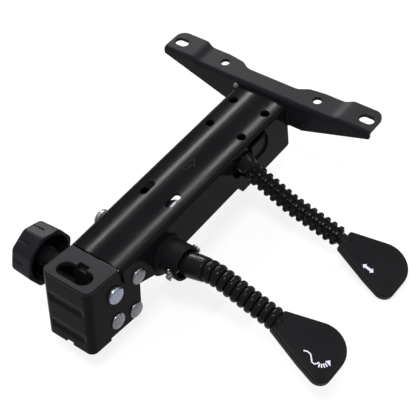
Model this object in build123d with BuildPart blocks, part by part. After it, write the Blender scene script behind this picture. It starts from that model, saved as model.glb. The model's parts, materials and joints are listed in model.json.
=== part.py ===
"""Office chair mechanism: seat beam with front crossbar, tilting back bracket and two levers.

Millimetres. The origin is the centre of the gas column socket's mouth, +Z up its axis, +Y to the
front of the chair and +X to the side of the two levers.
"""

from build123d import *
from math import atan2, cos, degrees, hypot, pi, radians, sin, tan
import os

os.makedirs("parts", exist_ok=True)

# Clearances
RUN = 0.05
PLATE_GAP = 0.3
SLOT_PLAY = 0.3
THRUST_GAP = 0.1

# Seat beam
BEAM_WIDTH = 54.0
BEAM_SHEET = 2.0
BEAM_CROWN_Z = 58.0
BEAM_SAG = 1.4
BEAM_CORNER_R = 3.0
BEAM_FRONT_Y = 42.0
BEAM_REAR_Y = -181.0
FRONT_WALL_Z = 10.2
REAR_WALL_Z = 19.5
WALL_STEP_Y = -28.0
WALL_STEP_RUN = 6.0
REAR_EDGE_LOW_Z = 41.0
HEEL_REACH = 9.6
HEEL_DROP = 5.0

# Holes in the top of the beam
SEAT_HOLE_R = 3.8
SEAT_HOLE_SPACING_X = 34.2
SEAT_HOLE_SPACING_Y = 34.5
SEAT_HOLE_CENTRE_Y = 6.2
OBLONG_LENGTH = 16.0
OBLONG_WIDTH = 6.5
OBLONG_SPACING_X = 27.6
OBLONG_Y = -101.1

# Window for the lift lever
WINDOW_REAR_Y = -38.0
WINDOW_FRONT_Y = 12.5
WINDOW_LOW_Z = 30.0
WINDOW_HIGH_Z = 55.4
WINDOW_CORNER_R = 11.0
WINDOW_NOTCH_DEPTH = 5.6

# Front crossbar
BAR_TOP_Z = 63.2
BAR_SHEET = 3.0
BAR_HALF_LENGTH = 110.5
BAR_CENTRE_FRONT_Y = 59.5
BAR_WING_FRONT_Y = 67.0
BAR_TIP_FRONT_Y = 69.5
BAR_NECK_HALF = 28.0
BAR_NECK_RUN = 7.0
BAR_NECK_FLARE = 4.5
BAR_TIP_RUN = 2.0
JOGGLE_X = 73.0
JOGGLE_RUN = 4.0
JOGGLE_RISE = 2.4
BAR_HOLE_Y = 56.0
BAR_HOLE_R = 4.0
BAR_HOLE_SPACING = 100.0
BAR_SLOT_INSET = 10.5
BAR_SLOT_LENGTH = 14.0
BAR_SLOT_R = 4.5
BAR_TIP_R = 9.0
FLANGE_LOW_Z = 34.5
FLANGE_TIP_Z = 59.5
FLANGE_FULL_HALF = 42.0
FLANGE_BEND_R = 4.0
WELD_LEG = 3.5
WELD_END_GAP = 1.0

# Gas column socket, cradle and saddle
SOCKET_MOUTH_R = 14.0
SOCKET_HEIGHT = 40.0
SOCKET_HALF_ANGLE = 1.4378
SOCKET_WALL = 2.8
SOCKET_COLLAR_R = 22.0
SOCKET_COLLAR_T = 2.5
CRADLE_SHEET = 2.5
CRADLE_REAR_Y = -27.0
CRADLE_TOP_Z = 46.0
CRADLE_NOTCH_FRONT_Y = -8.0
CRADLE_NOTCH_Z = 20.0
SADDLE_Z = 33.0
SADDLE_SHEET = 2.5
SADDLE_REAR_Y = -36.0
SADDLE_NOTCH_X = 12.0
LUG_TOP_Z = 50.0
LUG_T = 2.5
LUG_REAR_X = 10.5
LUG_FRONT_X = 15.5

# Lift lever
LIFT_Y = -19.0
LIFT_HINGE_X = 17.0
LIFT_HINGE_Z = 44.0
LIFT_PIN_R = 2.5
LIFT_BARREL_R = 5.0
LIFT_ROOT_DROP = 38.0
LIFT_ROOT_LENGTH = 24.0
LIFT_DROP = 25.2
LIFT_END_DROP = 14.9
LIFT_PADDLE_DROP = 19.5
LIFT_BOOT_START = 5.0
LIFT_BOOT_R = 8.8
LIFT_BOOT_END_R = 8.3
LIFT_NECK = 3.0
TONGUE_T = 3.0
TONGUE_END_X = -8.0
TONGUE_FRONT_Y = 8.0
TONGUE_PAD_HALF = 8.0

# Lever rods, sleeves and paddles
ROD_R = 3.0
ROD_BEND_R = 14.0
SLEEVE_CREST_R = 9.9
SLEEVE_ROOT_R = 7.8
STUD_ROWS = 6
STUD_END_ROWS = 7
STUD_PITCH = 7.0
STUD_COUNT = 8
STUD_GROOVE = 2.2
STUD_CREST_R = 8.8
STUD_ROOT_R = 6.8
RING_COUNT = 9
RING_PITCH = 6.78
NECK_R = 5.6
PADDLE_NECK_HALF = 10.5
PADDLE_NECK_R = 2.5
PADDLE_FRONT_R = 22.3
PADDLE_FRONT_X = 38.9
PADDLE_FRONT_Y = 2.0
PADDLE_REAR_R = 9.7
PADDLE_REAR_X = 51.2
PADDLE_REAR_Y = -13.7
PADDLE_T = 8.0
PADDLE_EDGE = 1.6
NECK_BLEND = 3.0
PADDLE_SOCKET = 16.0

# Recline lock: clamp rod, cup and lever
CLAMP_Y = -131.0
CLAMP_Z = 29.0
CLAMP_ROD_R = 4.0
LOBE_R = 20.5
CUP_R = 15.5
CUP_BORE_R = 13.0
CUP_FLOOR = 2.5
CUP_LENGTH = 21.0
CUP_RIM_R = 17.5
CUP_RIM_T = 2.5
HEAD_R = 8.5
HEAD_X = 44.0
HEAD_ECCENTRICITY = 2.4
HEAD_PIN_R = 2.5
RECLINE_ROOT_RISE = 13.95
RECLINE_ROOT_LENGTH = 33.6
RECLINE_DROP = 18.0
RECLINE_NECK = 0.8
BOOT_START = 4.4
BOOT_MOUTH_R = 10.0
BOOT_MOUTH_END = 8.9
BOOT_SHOULDER = 9.6
BOOT_R = 11.0
BOOT_END_R = 9.7
PUSH_PIN_R = 2.0
PUSH_PIN_OFFSET = 8.0
PUSH_PLATE_R = 12.0
PUSH_PLATE_T = 1.2
PAD_R = 11.0
PAD_T = 1.7
WASHER_R = 12.0
WASHER_T = 2.0
DISC_R = 10.0
DISC_T = 4.0
CLAMP_NUT_AF = 15.0
CLAMP_NUT_T = 9.0
CLAMP_ROD_STUB = 3.0

# Back bracket, in its own upright frame at its top front edge
BRACKET_FRONT_Y = -182.5
BRACKET_TOP_Z = 58.3
BRACKET_LEAN = 8.5
BRACKET_HALF = 24.7
BRACKET_SHEET = 2.5
BRACKET_DEPTH = 36.3
BRACKET_HEIGHT = 67.5
BRACKET_CORNER_R = 6.0
BRACKET_CAP_T = 4.2
BRACKET_CAP_EDGE = 0.8
EAR_FRONT = 23.5
EAR_STEP_RISE = 2.5
EAR_STEP_Y = -14.0
EAR_HUB_R = 12.0
EAR_CORNER_R = 6.0
PIVOT_FORWARD = 19.2
PIVOT_DOWN = 19.2
PIVOT_PIN_R = 4.0
PIN_HEAD_R = 7.4
PIN_HEAD_T = 2.6
PIN_HEAD_CHAMFER = 1.5
UPRIGHT_SLOT_LENGTH = 33.0
UPRIGHT_SLOT_WIDTH = 15.0
UPRIGHT_SLOT_Y = -23.4
SHOE_NOTCH_WIDTH = 10.0
SHOE_NOTCH_DEPTH = 4.6
SHOE_HEIGHT = 42.0
NOTCH_WIDTH = 7.5
NOTCH_HEIGHT = 3.0
RIB_DEPTH = 1.3
RIB_WIDTH = 7.0
RIB_HALF_LENGTH = 18.0
RIB_ONE_Z = -24.0
RIB_TWO_Z = -53.0
SPACER_PIN_R = 4.0
LOW_FRONT_PIN_Y = 16.6
LOW_FRONT_PIN_Z = -56.5
LOW_REAR_PIN_Y = -5.2
LOW_REAR_PIN_Z = -51.6

# Recline lock plates
RECLINE_RANGE = 20.0
LOCK_PLATE_T = 2.5
LOCK_PLATE_HUB_R = 9.0
LOCK_ARM_HALF = 8.3
LOCK_SLOT_MARGIN = 1.5

# Clamp bolt and knob
BOLT_Y = -6.5
BOLT_Z = -21.5
BOLT_R = 4.0
BOLT_HEAD_R = 8.0
BOLT_HEAD_T = 4.2
BOLT_HEAD_CHAMFER = 2.0
BOLT_END_GAP = 0.8
KNOB_BACK_X = -44.6
KNOB_THICKNESS = 22.4
KNOB_RIDGE_R = 25.6
KNOB_SIDES = 8
KNOB_RIDGE_FILLET = 7.0
KNOB_TURN = 49.0
KNOB_TAPER = 3.0
KNOB_FRONT_CHAMFER = 2.0
KNOB_RIM_WALL = 3.0
KNOB_FACE_T = 5.0
KNOB_GROOVE_WIDTH = 2.4
KNOB_GROOVE_DEPTH = 1.3
KNOB_GROOVE_LENGTH = 18.0
KNOB_HUB_R = 9.0
KNOB_HUB_SETBACK = 2.5
INSERT_R = 7.0
INSERT_LENGTH = 13.0
SLEEVE_R = 7.5
BOLT_REACH = 17.4

# Stop stud under the right oblong hole
STUD_HEAD_R = 5.5
STUD_HEAD_T = 2.6
STUD_HEAD_GAP = 1.5
STUD_END = 2.0
STUD_SHANK_R = 3.0
STUD_PLATE_T = 2.5
STUD_PLATE_Z = 38.0
STUD_PLATE_HALF_Y = 11.0

HALF = BEAM_WIDTH / 2
EAR_LOW = BRACKET_HEIGHT - EAR_STEP_RISE
INNER_HALF = HALF - BEAM_SHEET
SHOULDER_Z = BEAM_CROWN_Z - BEAM_SAG
LUG_INNER = LIFT_BOOT_R + PLATE_GAP
LUG_REAR_Y = LIFT_Y - LUG_INNER - LUG_T
LUG_FRONT_Y = LIFT_Y + LUG_INNER + LUG_T
LIFT_BARREL_LENGTH = 2 * (LUG_INNER - THRUST_GAP)
TURN = radians(BRACKET_LEAN)


def bracket_point(y: float, z: float) -> Vector:
    """Point of the bracket's own frame, at x 0, in the part's frame."""
    return Vector(
        0,
        BRACKET_FRONT_Y + y * cos(TURN) + z * sin(TURN),
        BRACKET_TOP_Z - y * sin(TURN) + z * cos(TURN),
    )


def bracket_plane(x: float) -> Plane:
    """Plane across the bracket at x, with local x forward and local y up."""
    origin = Vector(x, BRACKET_FRONT_Y, BRACKET_TOP_Z)
    return Plane(origin=origin, x_dir=(0, cos(TURN), -sin(TURN)), z_dir=(1, 0, 0))


def bracket_level(z: float) -> Plane:
    """Plane level with the bracket's cap at height z, with local x across and local y forward."""
    level = bracket_point(0, z)
    return Plane(origin=level, x_dir=(1, 0, 0), z_dir=(0, sin(TURN), cos(TURN)))


def lever_axis(drop: float) -> Vector:
    """Direction that runs outwards and drops by the given angle."""
    return Vector(cos(radians(drop)), 0, -sin(radians(drop)))


def section_plane(point: Vector, drop: float) -> Plane:
    """Plane square to a lever's axis, with its local x along the beam."""
    return Plane(origin=point, x_dir=(0, 1, 0), z_dir=lever_axis(drop))


def paddle_plane(point: Vector, drop: float) -> Plane:
    """Plane of a lever's paddle, with local x along the lever and local y along the beam."""
    return Plane(origin=point, x_dir=lever_axis(drop), z_dir=(sin(radians(drop)), 0, cos(radians(drop))))


PIVOT = bracket_point(PIVOT_FORWARD, -PIVOT_DOWN)
BOLT = bracket_point(BOLT_Y, BOLT_Z)
BEAM_LENGTH = BEAM_FRONT_Y - BEAM_REAR_Y

# Beam channel
with BuildPart() as beam_channel:
    with BuildSketch(Plane.XZ.offset(-BEAM_FRONT_Y)) as outer_section:
        with BuildLine():
            Line((-HALF, FRONT_WALL_Z), (HALF, FRONT_WALL_Z))
            Line((HALF, FRONT_WALL_Z), (HALF, SHOULDER_Z))
            ThreePointArc((HALF, SHOULDER_Z), (0, BEAM_CROWN_Z), (-HALF, SHOULDER_Z))
            Line((-HALF, SHOULDER_Z), (-HALF, FRONT_WALL_Z))
        make_face()
        fillet(outer_section.vertices().group_by(Axis.Y)[-1], radius=BEAM_CORNER_R)
    extrude(amount=BEAM_LENGTH)
    with BuildSketch(Plane.XZ.offset(-BEAM_FRONT_Y)) as inner_section:
        inner_shoulder = SHOULDER_Z - BEAM_SHEET
        with BuildLine():
            Line((-INNER_HALF, FRONT_WALL_Z), (INNER_HALF, FRONT_WALL_Z))
            Line((INNER_HALF, FRONT_WALL_Z), (INNER_HALF, inner_shoulder))
            ThreePointArc(
                (INNER_HALF, inner_shoulder),
                (0, BEAM_CROWN_Z - BEAM_SHEET),
                (-INNER_HALF, inner_shoulder),
            )
            Line((-INNER_HALF, inner_shoulder), (-INNER_HALF, FRONT_WALL_Z))
        make_face()
        fillet(inner_section.vertices().group_by(Axis.Y)[-1], radius=BEAM_CORNER_R - BEAM_SHEET)
    extrude(amount=BEAM_LENGTH, mode=Mode.SUBTRACT)
    # Side outline: deep front, shallow rear, a lobe for the clamp rod and a cut corner at the pivot
    with BuildSketch(Plane.YZ) as side_outline:
        lobe_reach = (LOBE_R**2 - (CLAMP_Z - REAR_WALL_Z) ** 2) ** 0.5
        rear_low = (CLAMP_Y - lobe_reach, REAR_WALL_Z)
        with BuildLine():
            Polyline(
                (BEAM_REAR_Y, REAR_EDGE_LOW_Z),
                (BEAM_REAR_Y, BEAM_CROWN_Z),
                (BEAM_FRONT_Y, BEAM_CROWN_Z),
                (BEAM_FRONT_Y, FRONT_WALL_Z),
                (WALL_STEP_Y, FRONT_WALL_Z),
                (WALL_STEP_Y - WALL_STEP_RUN, REAR_WALL_Z),
                (CLAMP_Y + lobe_reach, REAR_WALL_Z),
            )
            ThreePointArc(
                (CLAMP_Y + lobe_reach, REAR_WALL_Z), (CLAMP_Y, CLAMP_Z - LOBE_R), rear_low
            )
            pivot_low = (PIVOT.Y, PIVOT.Z - EAR_HUB_R + BEAM_CORNER_R)
            Line(rear_low, pivot_low)
            ThreePointArc(
                pivot_low,
                (PIVOT.Y - HEEL_REACH, PIVOT.Z - HEEL_DROP),
                (BEAM_REAR_Y, REAR_EDGE_LOW_Z),
            )
        make_face()
    extrude(amount=BEAM_WIDTH, both=True, mode=Mode.INTERSECT)
    with BuildSketch(Plane.XY.offset(BEAM_CROWN_Z)):
        with Locations((0, SEAT_HOLE_CENTRE_Y)):
            with GridLocations(SEAT_HOLE_SPACING_X, SEAT_HOLE_SPACING_Y, 2, 2):
                Circle(SEAT_HOLE_R)
        with Locations((0, OBLONG_Y)):
            with GridLocations(OBLONG_SPACING_X, 1, 2, 1):
                SlotOverall(OBLONG_LENGTH, OBLONG_WIDTH, rotation=90)
    extrude(amount=-(BEAM_SAG + 2 * BEAM_SHEET), mode=Mode.SUBTRACT)
    # Window for the lift lever in the right wall
    with BuildSketch(Plane.YZ.offset(INNER_HALF - BEAM_CORNER_R / 3)) as window:
        with BuildLine():
            Polyline(
                (WINDOW_REAR_Y, WINDOW_HIGH_Z),
                (WINDOW_FRONT_Y - WINDOW_CORNER_R / 3, WINDOW_HIGH_Z),
                (WINDOW_FRONT_Y, WINDOW_HIGH_Z - WINDOW_CORNER_R),
                (WINDOW_FRONT_Y, WINDOW_LOW_Z),
                (WINDOW_REAR_Y, WINDOW_LOW_Z),
                close=True,
            )
        make_face()
        fillet(window.vertices().group_by(Axis.Y)[0], radius=WINDOW_CORNER_R)
        notch_r = LIFT_BOOT_R + SLOT_PLAY
        with Locations((LIFT_Y, WINDOW_LOW_Z - WINDOW_NOTCH_DEPTH + notch_r)):
            Circle(notch_r)
    extrude(amount=2 * BEAM_CORNER_R, mode=Mode.SUBTRACT)
    # Holes for the pivot pin, the clamp rod and the push pins
    with BuildSketch(Plane.YZ):
        with Locations((PIVOT.Y, PIVOT.Z)):
            Circle(PIVOT_PIN_R)
        with Locations((CLAMP_Y, CLAMP_Z)):
            Circle(CLAMP_ROD_R)
    extrude(amount=BEAM_WIDTH, both=True, mode=Mode.SUBTRACT)
    with BuildSketch(Plane.YZ.offset(INNER_HALF)):
        with Locations((CLAMP_Y - PUSH_PIN_OFFSET, CLAMP_Z), (CLAMP_Y + PUSH_PIN_OFFSET, CLAMP_Z)):
            Circle(PUSH_PIN_R + PLATE_GAP)
    extrude(amount=BEAM_SHEET, mode=Mode.SUBTRACT)
beam_channel.part.label = "beam_channel"

# Front crossbar: a joggled angle section, cut to its plan and front outlines
RAISED_Z = BAR_TOP_Z + JOGGLE_RISE
JOGGLE_END = JOGGLE_X + JOGGLE_RUN


def bar_section(x: float, top: float) -> Sketch:
    """The crossbar's angle section at x, with its plate's top at the given height."""
    inside_y = BEAM_FRONT_Y + BAR_SHEET
    with BuildSketch(Plane.YZ.offset(x)) as section:
        with BuildLine():
            Polyline(
                (BEAM_FRONT_Y, FLANGE_LOW_Z),
                (BEAM_FRONT_Y, top),
                (BAR_TIP_FRONT_Y, top),
                (BAR_TIP_FRONT_Y, top - BAR_SHEET),
                (inside_y, top - BAR_SHEET),
                (inside_y, FLANGE_LOW_Z),
                close=True,
            )
        make_face()
        outer = section.vertices().filter_by_position(Axis.X, -1e3, BEAM_FRONT_Y + 0.1)
        fillet(outer.group_by(Axis.Y)[-1], radius=FLANGE_BEND_R)
        inner_corners = section.vertices().filter_by_position(Axis.X, inside_y - 0.1, inside_y + 0.1)
        fillet(inner_corners.group_by(Axis.Y)[-1], radius=FLANGE_BEND_R - BAR_SHEET)
    return section.sketch


with BuildPart() as front_crossbar:
    extrude(bar_section(0, BAR_TOP_Z), amount=JOGGLE_X)
    loft([bar_section(JOGGLE_X, BAR_TOP_Z), bar_section(JOGGLE_END, RAISED_Z)], ruled=True)
    extrude(bar_section(JOGGLE_END, RAISED_Z), amount=BAR_HALF_LENGTH - JOGGLE_END)
    mirror(about=Plane.YZ)
    with BuildSketch(Plane.XY) as plan_outline:
        with BuildLine():
            Polyline(
                (0, BAR_CENTRE_FRONT_Y),
                (BAR_NECK_HALF, BAR_CENTRE_FRONT_Y),
                (BAR_NECK_HALF + BAR_NECK_RUN, BAR_CENTRE_FRONT_Y + BAR_NECK_FLARE),
                (BAR_HOLE_SPACING / 2, BAR_WING_FRONT_Y),
                (JOGGLE_X, BAR_WING_FRONT_Y),
                (JOGGLE_END + BAR_TIP_RUN, BAR_TIP_FRONT_Y),
                (BAR_HALF_LENGTH, BAR_TIP_FRONT_Y),
                (BAR_HALF_LENGTH, BEAM_FRONT_Y),
                (0, BEAM_FRONT_Y),
                close=True,
            )
        make_face()
        mirror(about=Plane.YZ)
        front = plan_outline.vertices().filter_by_position(Axis.Y, BAR_TIP_FRONT_Y - 0.1, BAR_TIP_FRONT_Y + 1)
        tips = front.sort_by(Axis.X)
        fillet([tips[0], tips[-1]], radius=BAR_TIP_R)
    extrude(amount=RAISED_Z + BAR_SHEET, mode=Mode.INTERSECT)
    with BuildSketch(Plane.XZ.offset(-BEAM_FRONT_Y)):
        with BuildLine():
            Polyline(
                (0, RAISED_Z),
                (BAR_HALF_LENGTH, RAISED_Z),
                (BAR_HALF_LENGTH, FLANGE_TIP_Z),
                (FLANGE_FULL_HALF, FLANGE_LOW_Z),
                (0, FLANGE_LOW_Z),
                close=True,
            )
        make_face()
        mirror(about=Plane.YZ)
    extrude(amount=BEAM_FRONT_Y - BAR_TIP_FRONT_Y, mode=Mode.INTERSECT)
    with BuildSketch(Plane.XY.offset(RAISED_Z)):
        with Locations((0, BAR_HOLE_Y)):
            with GridLocations(BAR_HOLE_SPACING, 1, 2, 1):
                Circle(BAR_HOLE_R)
            with GridLocations(2 * (BAR_HALF_LENGTH - BAR_SLOT_INSET), 1, 2, 1):
                SlotOverall(BAR_SLOT_LENGTH, 2 * BAR_SLOT_R)
    extrude(amount=-3 * BAR_SHEET, mode=Mode.SUBTRACT)
front_crossbar.part.label = "front_crossbar"

# Weld beads between the beam's walls and the crossbar's flange
with BuildPart() as weld_beads:
    with BuildSketch(Plane.XY.offset(FLANGE_LOW_Z + WELD_END_GAP)):
        for side in (-1, 1):
            with BuildLine():
                corner = (side * HALF, BEAM_FRONT_Y)
                Line(corner, (side * (HALF + WELD_LEG), BEAM_FRONT_Y))
                Line((side * (HALF + WELD_LEG), BEAM_FRONT_Y), (side * HALF, BEAM_FRONT_Y - WELD_LEG))
                Line((side * HALF, BEAM_FRONT_Y - WELD_LEG), corner)
            make_face()
    extrude(amount=SHOULDER_Z - BEAM_CORNER_R - FLANGE_LOW_Z - WELD_END_GAP)
weld_beads.part.label = "weld_beads"

# Inner cradle: an inner U that carries the socket
with BuildPart() as socket_cradle:
    with BuildSketch(Plane.XZ.offset(-BEAM_FRONT_Y)):
        inner = INNER_HALF - CRADLE_SHEET
        with BuildLine():
            Polyline(
                (-INNER_HALF, FRONT_WALL_Z),
                (INNER_HALF, FRONT_WALL_Z),
                (INNER_HALF, CRADLE_TOP_Z),
                (inner, CRADLE_TOP_Z),
                (inner, FRONT_WALL_Z + CRADLE_SHEET),
                (-inner, FRONT_WALL_Z + CRADLE_SHEET),
                (-inner, CRADLE_TOP_Z),
                (-INNER_HALF, CRADLE_TOP_Z),
                close=True,
            )
        make_face()
    extrude(amount=BEAM_FRONT_Y - CRADLE_REAR_Y)
    with BuildSketch(Plane.YZ.offset(inner)):
        with Locations((CRADLE_REAR_Y, CRADLE_NOTCH_Z)):
            notch_length = CRADLE_NOTCH_FRONT_Y - CRADLE_REAR_Y
            Rectangle(notch_length, CRADLE_TOP_Z - CRADLE_NOTCH_Z, align=(Align.MIN, Align.MIN))
    extrude(amount=CRADLE_SHEET, mode=Mode.SUBTRACT)
    with BuildSketch(Plane.XY.offset(FRONT_WALL_Z)):
        Circle(SOCKET_MOUTH_R + SOCKET_WALL)
    extrude(amount=CRADLE_SHEET, mode=Mode.SUBTRACT)
socket_cradle.part.label = "socket_cradle"

# Taper socket for the gas column
SOCKET_TOP_R = SOCKET_MOUTH_R - SOCKET_HEIGHT * tan(radians(SOCKET_HALF_ANGLE))
SOCKET_OUTER_R = SOCKET_MOUTH_R + SOCKET_WALL
with BuildPart() as taper_socket:
    with BuildSketch(Plane.XZ):
        with BuildLine():
            Polyline(
                (SOCKET_MOUTH_R, 0),
                (SOCKET_OUTER_R, 0),
                (SOCKET_OUTER_R, FRONT_WALL_Z - SOCKET_COLLAR_T),
                (SOCKET_COLLAR_R, FRONT_WALL_Z - SOCKET_COLLAR_T),
                (SOCKET_COLLAR_R, FRONT_WALL_Z),
                (SOCKET_OUTER_R, FRONT_WALL_Z),
                (SOCKET_OUTER_R, SOCKET_HEIGHT),
                (SOCKET_TOP_R, SOCKET_HEIGHT),
                close=True,
            )
        make_face()
    revolve(axis=Axis.Z)
taper_socket.part.label = "taper_socket"

# Saddle: the upper plate round the socket, with two lugs for the lift lever's pin
with BuildPart() as socket_saddle:
    with BuildSketch(Plane.XY.offset(SADDLE_Z)):
        with BuildLine():
            Polyline(
                (-inner, SADDLE_REAR_Y),
                (inner, SADDLE_REAR_Y),
                (inner, LUG_REAR_Y + LUG_T),
                (SADDLE_NOTCH_X + LUG_T, LUG_REAR_Y + LUG_T),
                (SADDLE_NOTCH_X + LUG_T, LUG_FRONT_Y - LUG_T),
                (inner, LUG_FRONT_Y - LUG_T),
                (inner, BEAM_FRONT_Y),
                (-inner, BEAM_FRONT_Y),
                close=True,
            )
        make_face()
        Circle(SOCKET_OUTER_R, mode=Mode.SUBTRACT)
    extrude(amount=SADDLE_SHEET)
    for lug_y, lug_x in ((LUG_REAR_Y + LUG_T, LUG_REAR_X), (LUG_FRONT_Y, LUG_FRONT_X)):
        with BuildSketch(Plane.XZ.offset(-lug_y)) as lug:
            with Locations((lug_x, SADDLE_Z)):
                Rectangle(inner - lug_x, LUG_TOP_Z - SADDLE_Z, align=(Align.MIN, Align.MIN))
            fillet(lug.vertices().group_by(Axis.Y)[-1], radius=LUG_T)
            with Locations((LIFT_HINGE_X, LIFT_HINGE_Z)):
                Circle(LIFT_PIN_R, mode=Mode.SUBTRACT)
        extrude(amount=LUG_T)
socket_saddle.part.label = "socket_saddle"

# Lift lever's hinge pin, headed at both ends
PIN_HEAD_LIFT_R = LIFT_PIN_R + 1.5
PIN_HEAD_LIFT_T = 1.5
with BuildPart() as lift_hinge_pin:
    pin_front = LUG_FRONT_Y
    pin_rear = LUG_REAR_Y
    with BuildSketch(Plane.XZ.offset(-pin_front)):
        with Locations((LIFT_HINGE_X, LIFT_HINGE_Z)):
            Circle(LIFT_PIN_R)
    extrude(amount=pin_front - pin_rear)
    for head_y in (pin_front + PIN_HEAD_LIFT_T, pin_rear):
        with BuildSketch(Plane.XZ.offset(-head_y)):
            with Locations((LIFT_HINGE_X, LIFT_HINGE_Z)):
                Circle(PIN_HEAD_LIFT_R)
        extrude(amount=PIN_HEAD_LIFT_T)
lift_hinge_pin.part.label = "lift_hinge_pin"

# Lift lever: barrel on the pin, pressing tongue over the socket and cranked rod
LIFT_HINGE = Vector(LIFT_HINGE_X, LIFT_Y, LIFT_HINGE_Z)
LIFT_BEND = LIFT_HINGE + lever_axis(LIFT_ROOT_DROP) * LIFT_ROOT_LENGTH
LIFT_KNEE = LIFT_BEND + lever_axis(LIFT_DROP) * (STUD_PITCH * STUD_ROWS)
LIFT_SLEEVE_END = LIFT_KNEE + lever_axis(LIFT_END_DROP) * (STUD_PITCH * STUD_END_ROWS)
LIFT_TILT_GAP = NECK_R * sin(radians(LIFT_PADDLE_DROP - LIFT_END_DROP))
LIFT_NECK_END = LIFT_SLEEVE_END + lever_axis(LIFT_PADDLE_DROP) * (LIFT_NECK + LIFT_TILT_GAP)
LIFT_ROD_END = LIFT_NECK_END + lever_axis(LIFT_PADDLE_DROP) * PADDLE_SOCKET
with BuildPart() as lift_rod:
    with BuildLine() as lift_path:
        FilletPolyline(LIFT_HINGE, LIFT_BEND, LIFT_KNEE, radius=ROD_BEND_R)
        Polyline(LIFT_KNEE, LIFT_SLEEVE_END, LIFT_ROD_END)
    with BuildSketch(section_plane(LIFT_HINGE, LIFT_ROOT_DROP)):
        Circle(ROD_R)
    sweep(transition=Transition.RIGHT)
    with BuildSketch(Plane.XZ.offset(-(LIFT_Y + LIFT_BARREL_LENGTH / 2))):
        with Locations((LIFT_HINGE_X, LIFT_HINGE_Z)):
            Circle(LIFT_BARREL_R)
    extrude(amount=LIFT_BARREL_LENGTH)
    with BuildSketch(Plane.XY.offset(LIFT_HINGE_Z + LIFT_PIN_R - TONGUE_T / 2)) as tongue:
        barrel_rear = LIFT_Y - LIFT_BARREL_LENGTH / 2
        barrel_front = LIFT_Y + LIFT_BARREL_LENGTH / 2
        with BuildLine():
            Polyline(
                (LIFT_HINGE_X, barrel_rear),
                (LIFT_HINGE_X, barrel_front),
                (LIFT_HINGE_X - LIFT_BARREL_R, barrel_front),
                (TONGUE_PAD_HALF, TONGUE_FRONT_Y),
                (TONGUE_END_X, TONGUE_FRONT_Y),
                (TONGUE_END_X, -TONGUE_FRONT_Y),
                (TONGUE_PAD_HALF, barrel_rear),
                close=True,
            )
        make_face()
        fillet(tongue.vertices().group_by(Axis.X)[0], radius=LUG_T)
    extrude(amount=TONGUE_T)
    with BuildSketch(Plane.XZ.offset(-(LIFT_Y + LIFT_BARREL_LENGTH / 2))):
        with Locations((LIFT_HINGE_X, LIFT_HINGE_Z)):
            Circle(LIFT_PIN_R + RUN)
    extrude(amount=LIFT_BARREL_LENGTH, mode=Mode.SUBTRACT)
lift_rod.part.label = "lift_rod"


def build_studs(start: Vector, drop: float, rows: int) -> Part:
    """Straight run of rubber studs: eight-sided rings, parted at their corners by grooves.

    Args:
        start: centre of the run's inner end.
        drop: angle by which the run drops outwards, in degrees.
        rows: number of rings.

    Returns:
        The run, without the rod's bore.
    """
    with BuildPart() as run:
        for row in range(rows):
            for share, radius in ((0, STUD_ROOT_R), (0.3, STUD_CREST_R), (0.7, STUD_CREST_R), (1, STUD_ROOT_R)):
                station = start + lever_axis(drop) * (STUD_PITCH * (row + share))
                with BuildSketch(section_plane(station, drop)):
                    RegularPolygon(radius, STUD_COUNT, major_radius=False)
            loft(ruled=True)
        with BuildSketch(section_plane(start, drop)):
            with PolarLocations(STUD_CREST_R, STUD_COUNT):
                Rectangle(2 * (STUD_CREST_R - STUD_ROOT_R), STUD_GROOVE)
        extrude(amount=STUD_PITCH * rows, mode=Mode.SUBTRACT)
    return run.part


# Studded rubber sleeve in two runs with its smooth boot
with BuildPart() as lift_sleeve:
    add(build_studs(LIFT_BEND, LIFT_DROP, STUD_ROWS))
    add(build_studs(LIFT_KNEE, LIFT_END_DROP, STUD_END_ROWS))
    boot_start = LIFT_HINGE + lever_axis(LIFT_ROOT_DROP) * LIFT_BOOT_START
    with BuildSketch(section_plane(boot_start, LIFT_ROOT_DROP)):
        Circle(LIFT_BOOT_R)
    with BuildSketch(section_plane(LIFT_BEND, LIFT_ROOT_DROP)):
        Circle(LIFT_BOOT_END_R)
    loft(ruled=True)
    with Locations(LIFT_BEND):
        Sphere(LIFT_BOOT_END_R)
    add(lift_rod.part, mode=Mode.SUBTRACT)
lift_sleeve.part.label = "lift_sleeve"


def build_paddle(start: Vector, drop: float, neck: float) -> Part:
    """Fan-shaped lever end: a hull of a wide front corner, a tighter rear corner and a narrow inner end.

    Args:
        start: centre of the fan's inner end.
        drop: angle by which the fan drops outwards, in degrees.
        neck: length of the neck between the sleeve and the fan.

    Returns:
        The paddle, with its blind bore for the rod.
    """
    plane = paddle_plane(start, drop)
    with BuildPart() as paddle:
        with BuildSketch(plane.offset(-PADDLE_T / 2)):
            with Locations((PADDLE_FRONT_X, PADDLE_FRONT_Y)):
                Circle(PADDLE_FRONT_R)
            with Locations((PADDLE_REAR_X, PADDLE_REAR_Y)):
                Circle(PADDLE_REAR_R)
            neck_offset = PADDLE_NECK_HALF - PADDLE_NECK_R
            with Locations((PADDLE_NECK_R, neck_offset), (PADDLE_NECK_R, -neck_offset)):
                Circle(PADDLE_NECK_R)
            make_hull()
        extrude(amount=PADDLE_T)
        faces = paddle.faces().filter_by(lambda f: abs(f.normal_at().dot(plane.z_dir)) > 0.99)
        chamfer(faces.edges(), length=PADDLE_EDGE)
        with BuildSketch(section_plane(start - lever_axis(drop) * neck, drop)):
            Circle(NECK_R)
        extrude(amount=neck + NECK_BLEND)
        with BuildSketch(section_plane(start - lever_axis(drop) * neck, drop)):
            Circle(ROD_R)
        extrude(amount=neck + PADDLE_SOCKET, mode=Mode.SUBTRACT)
    return paddle.part


lift_paddle = build_paddle(LIFT_NECK_END, LIFT_PADDLE_DROP, LIFT_NECK)
lift_paddle.label = "lift_paddle"

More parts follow.
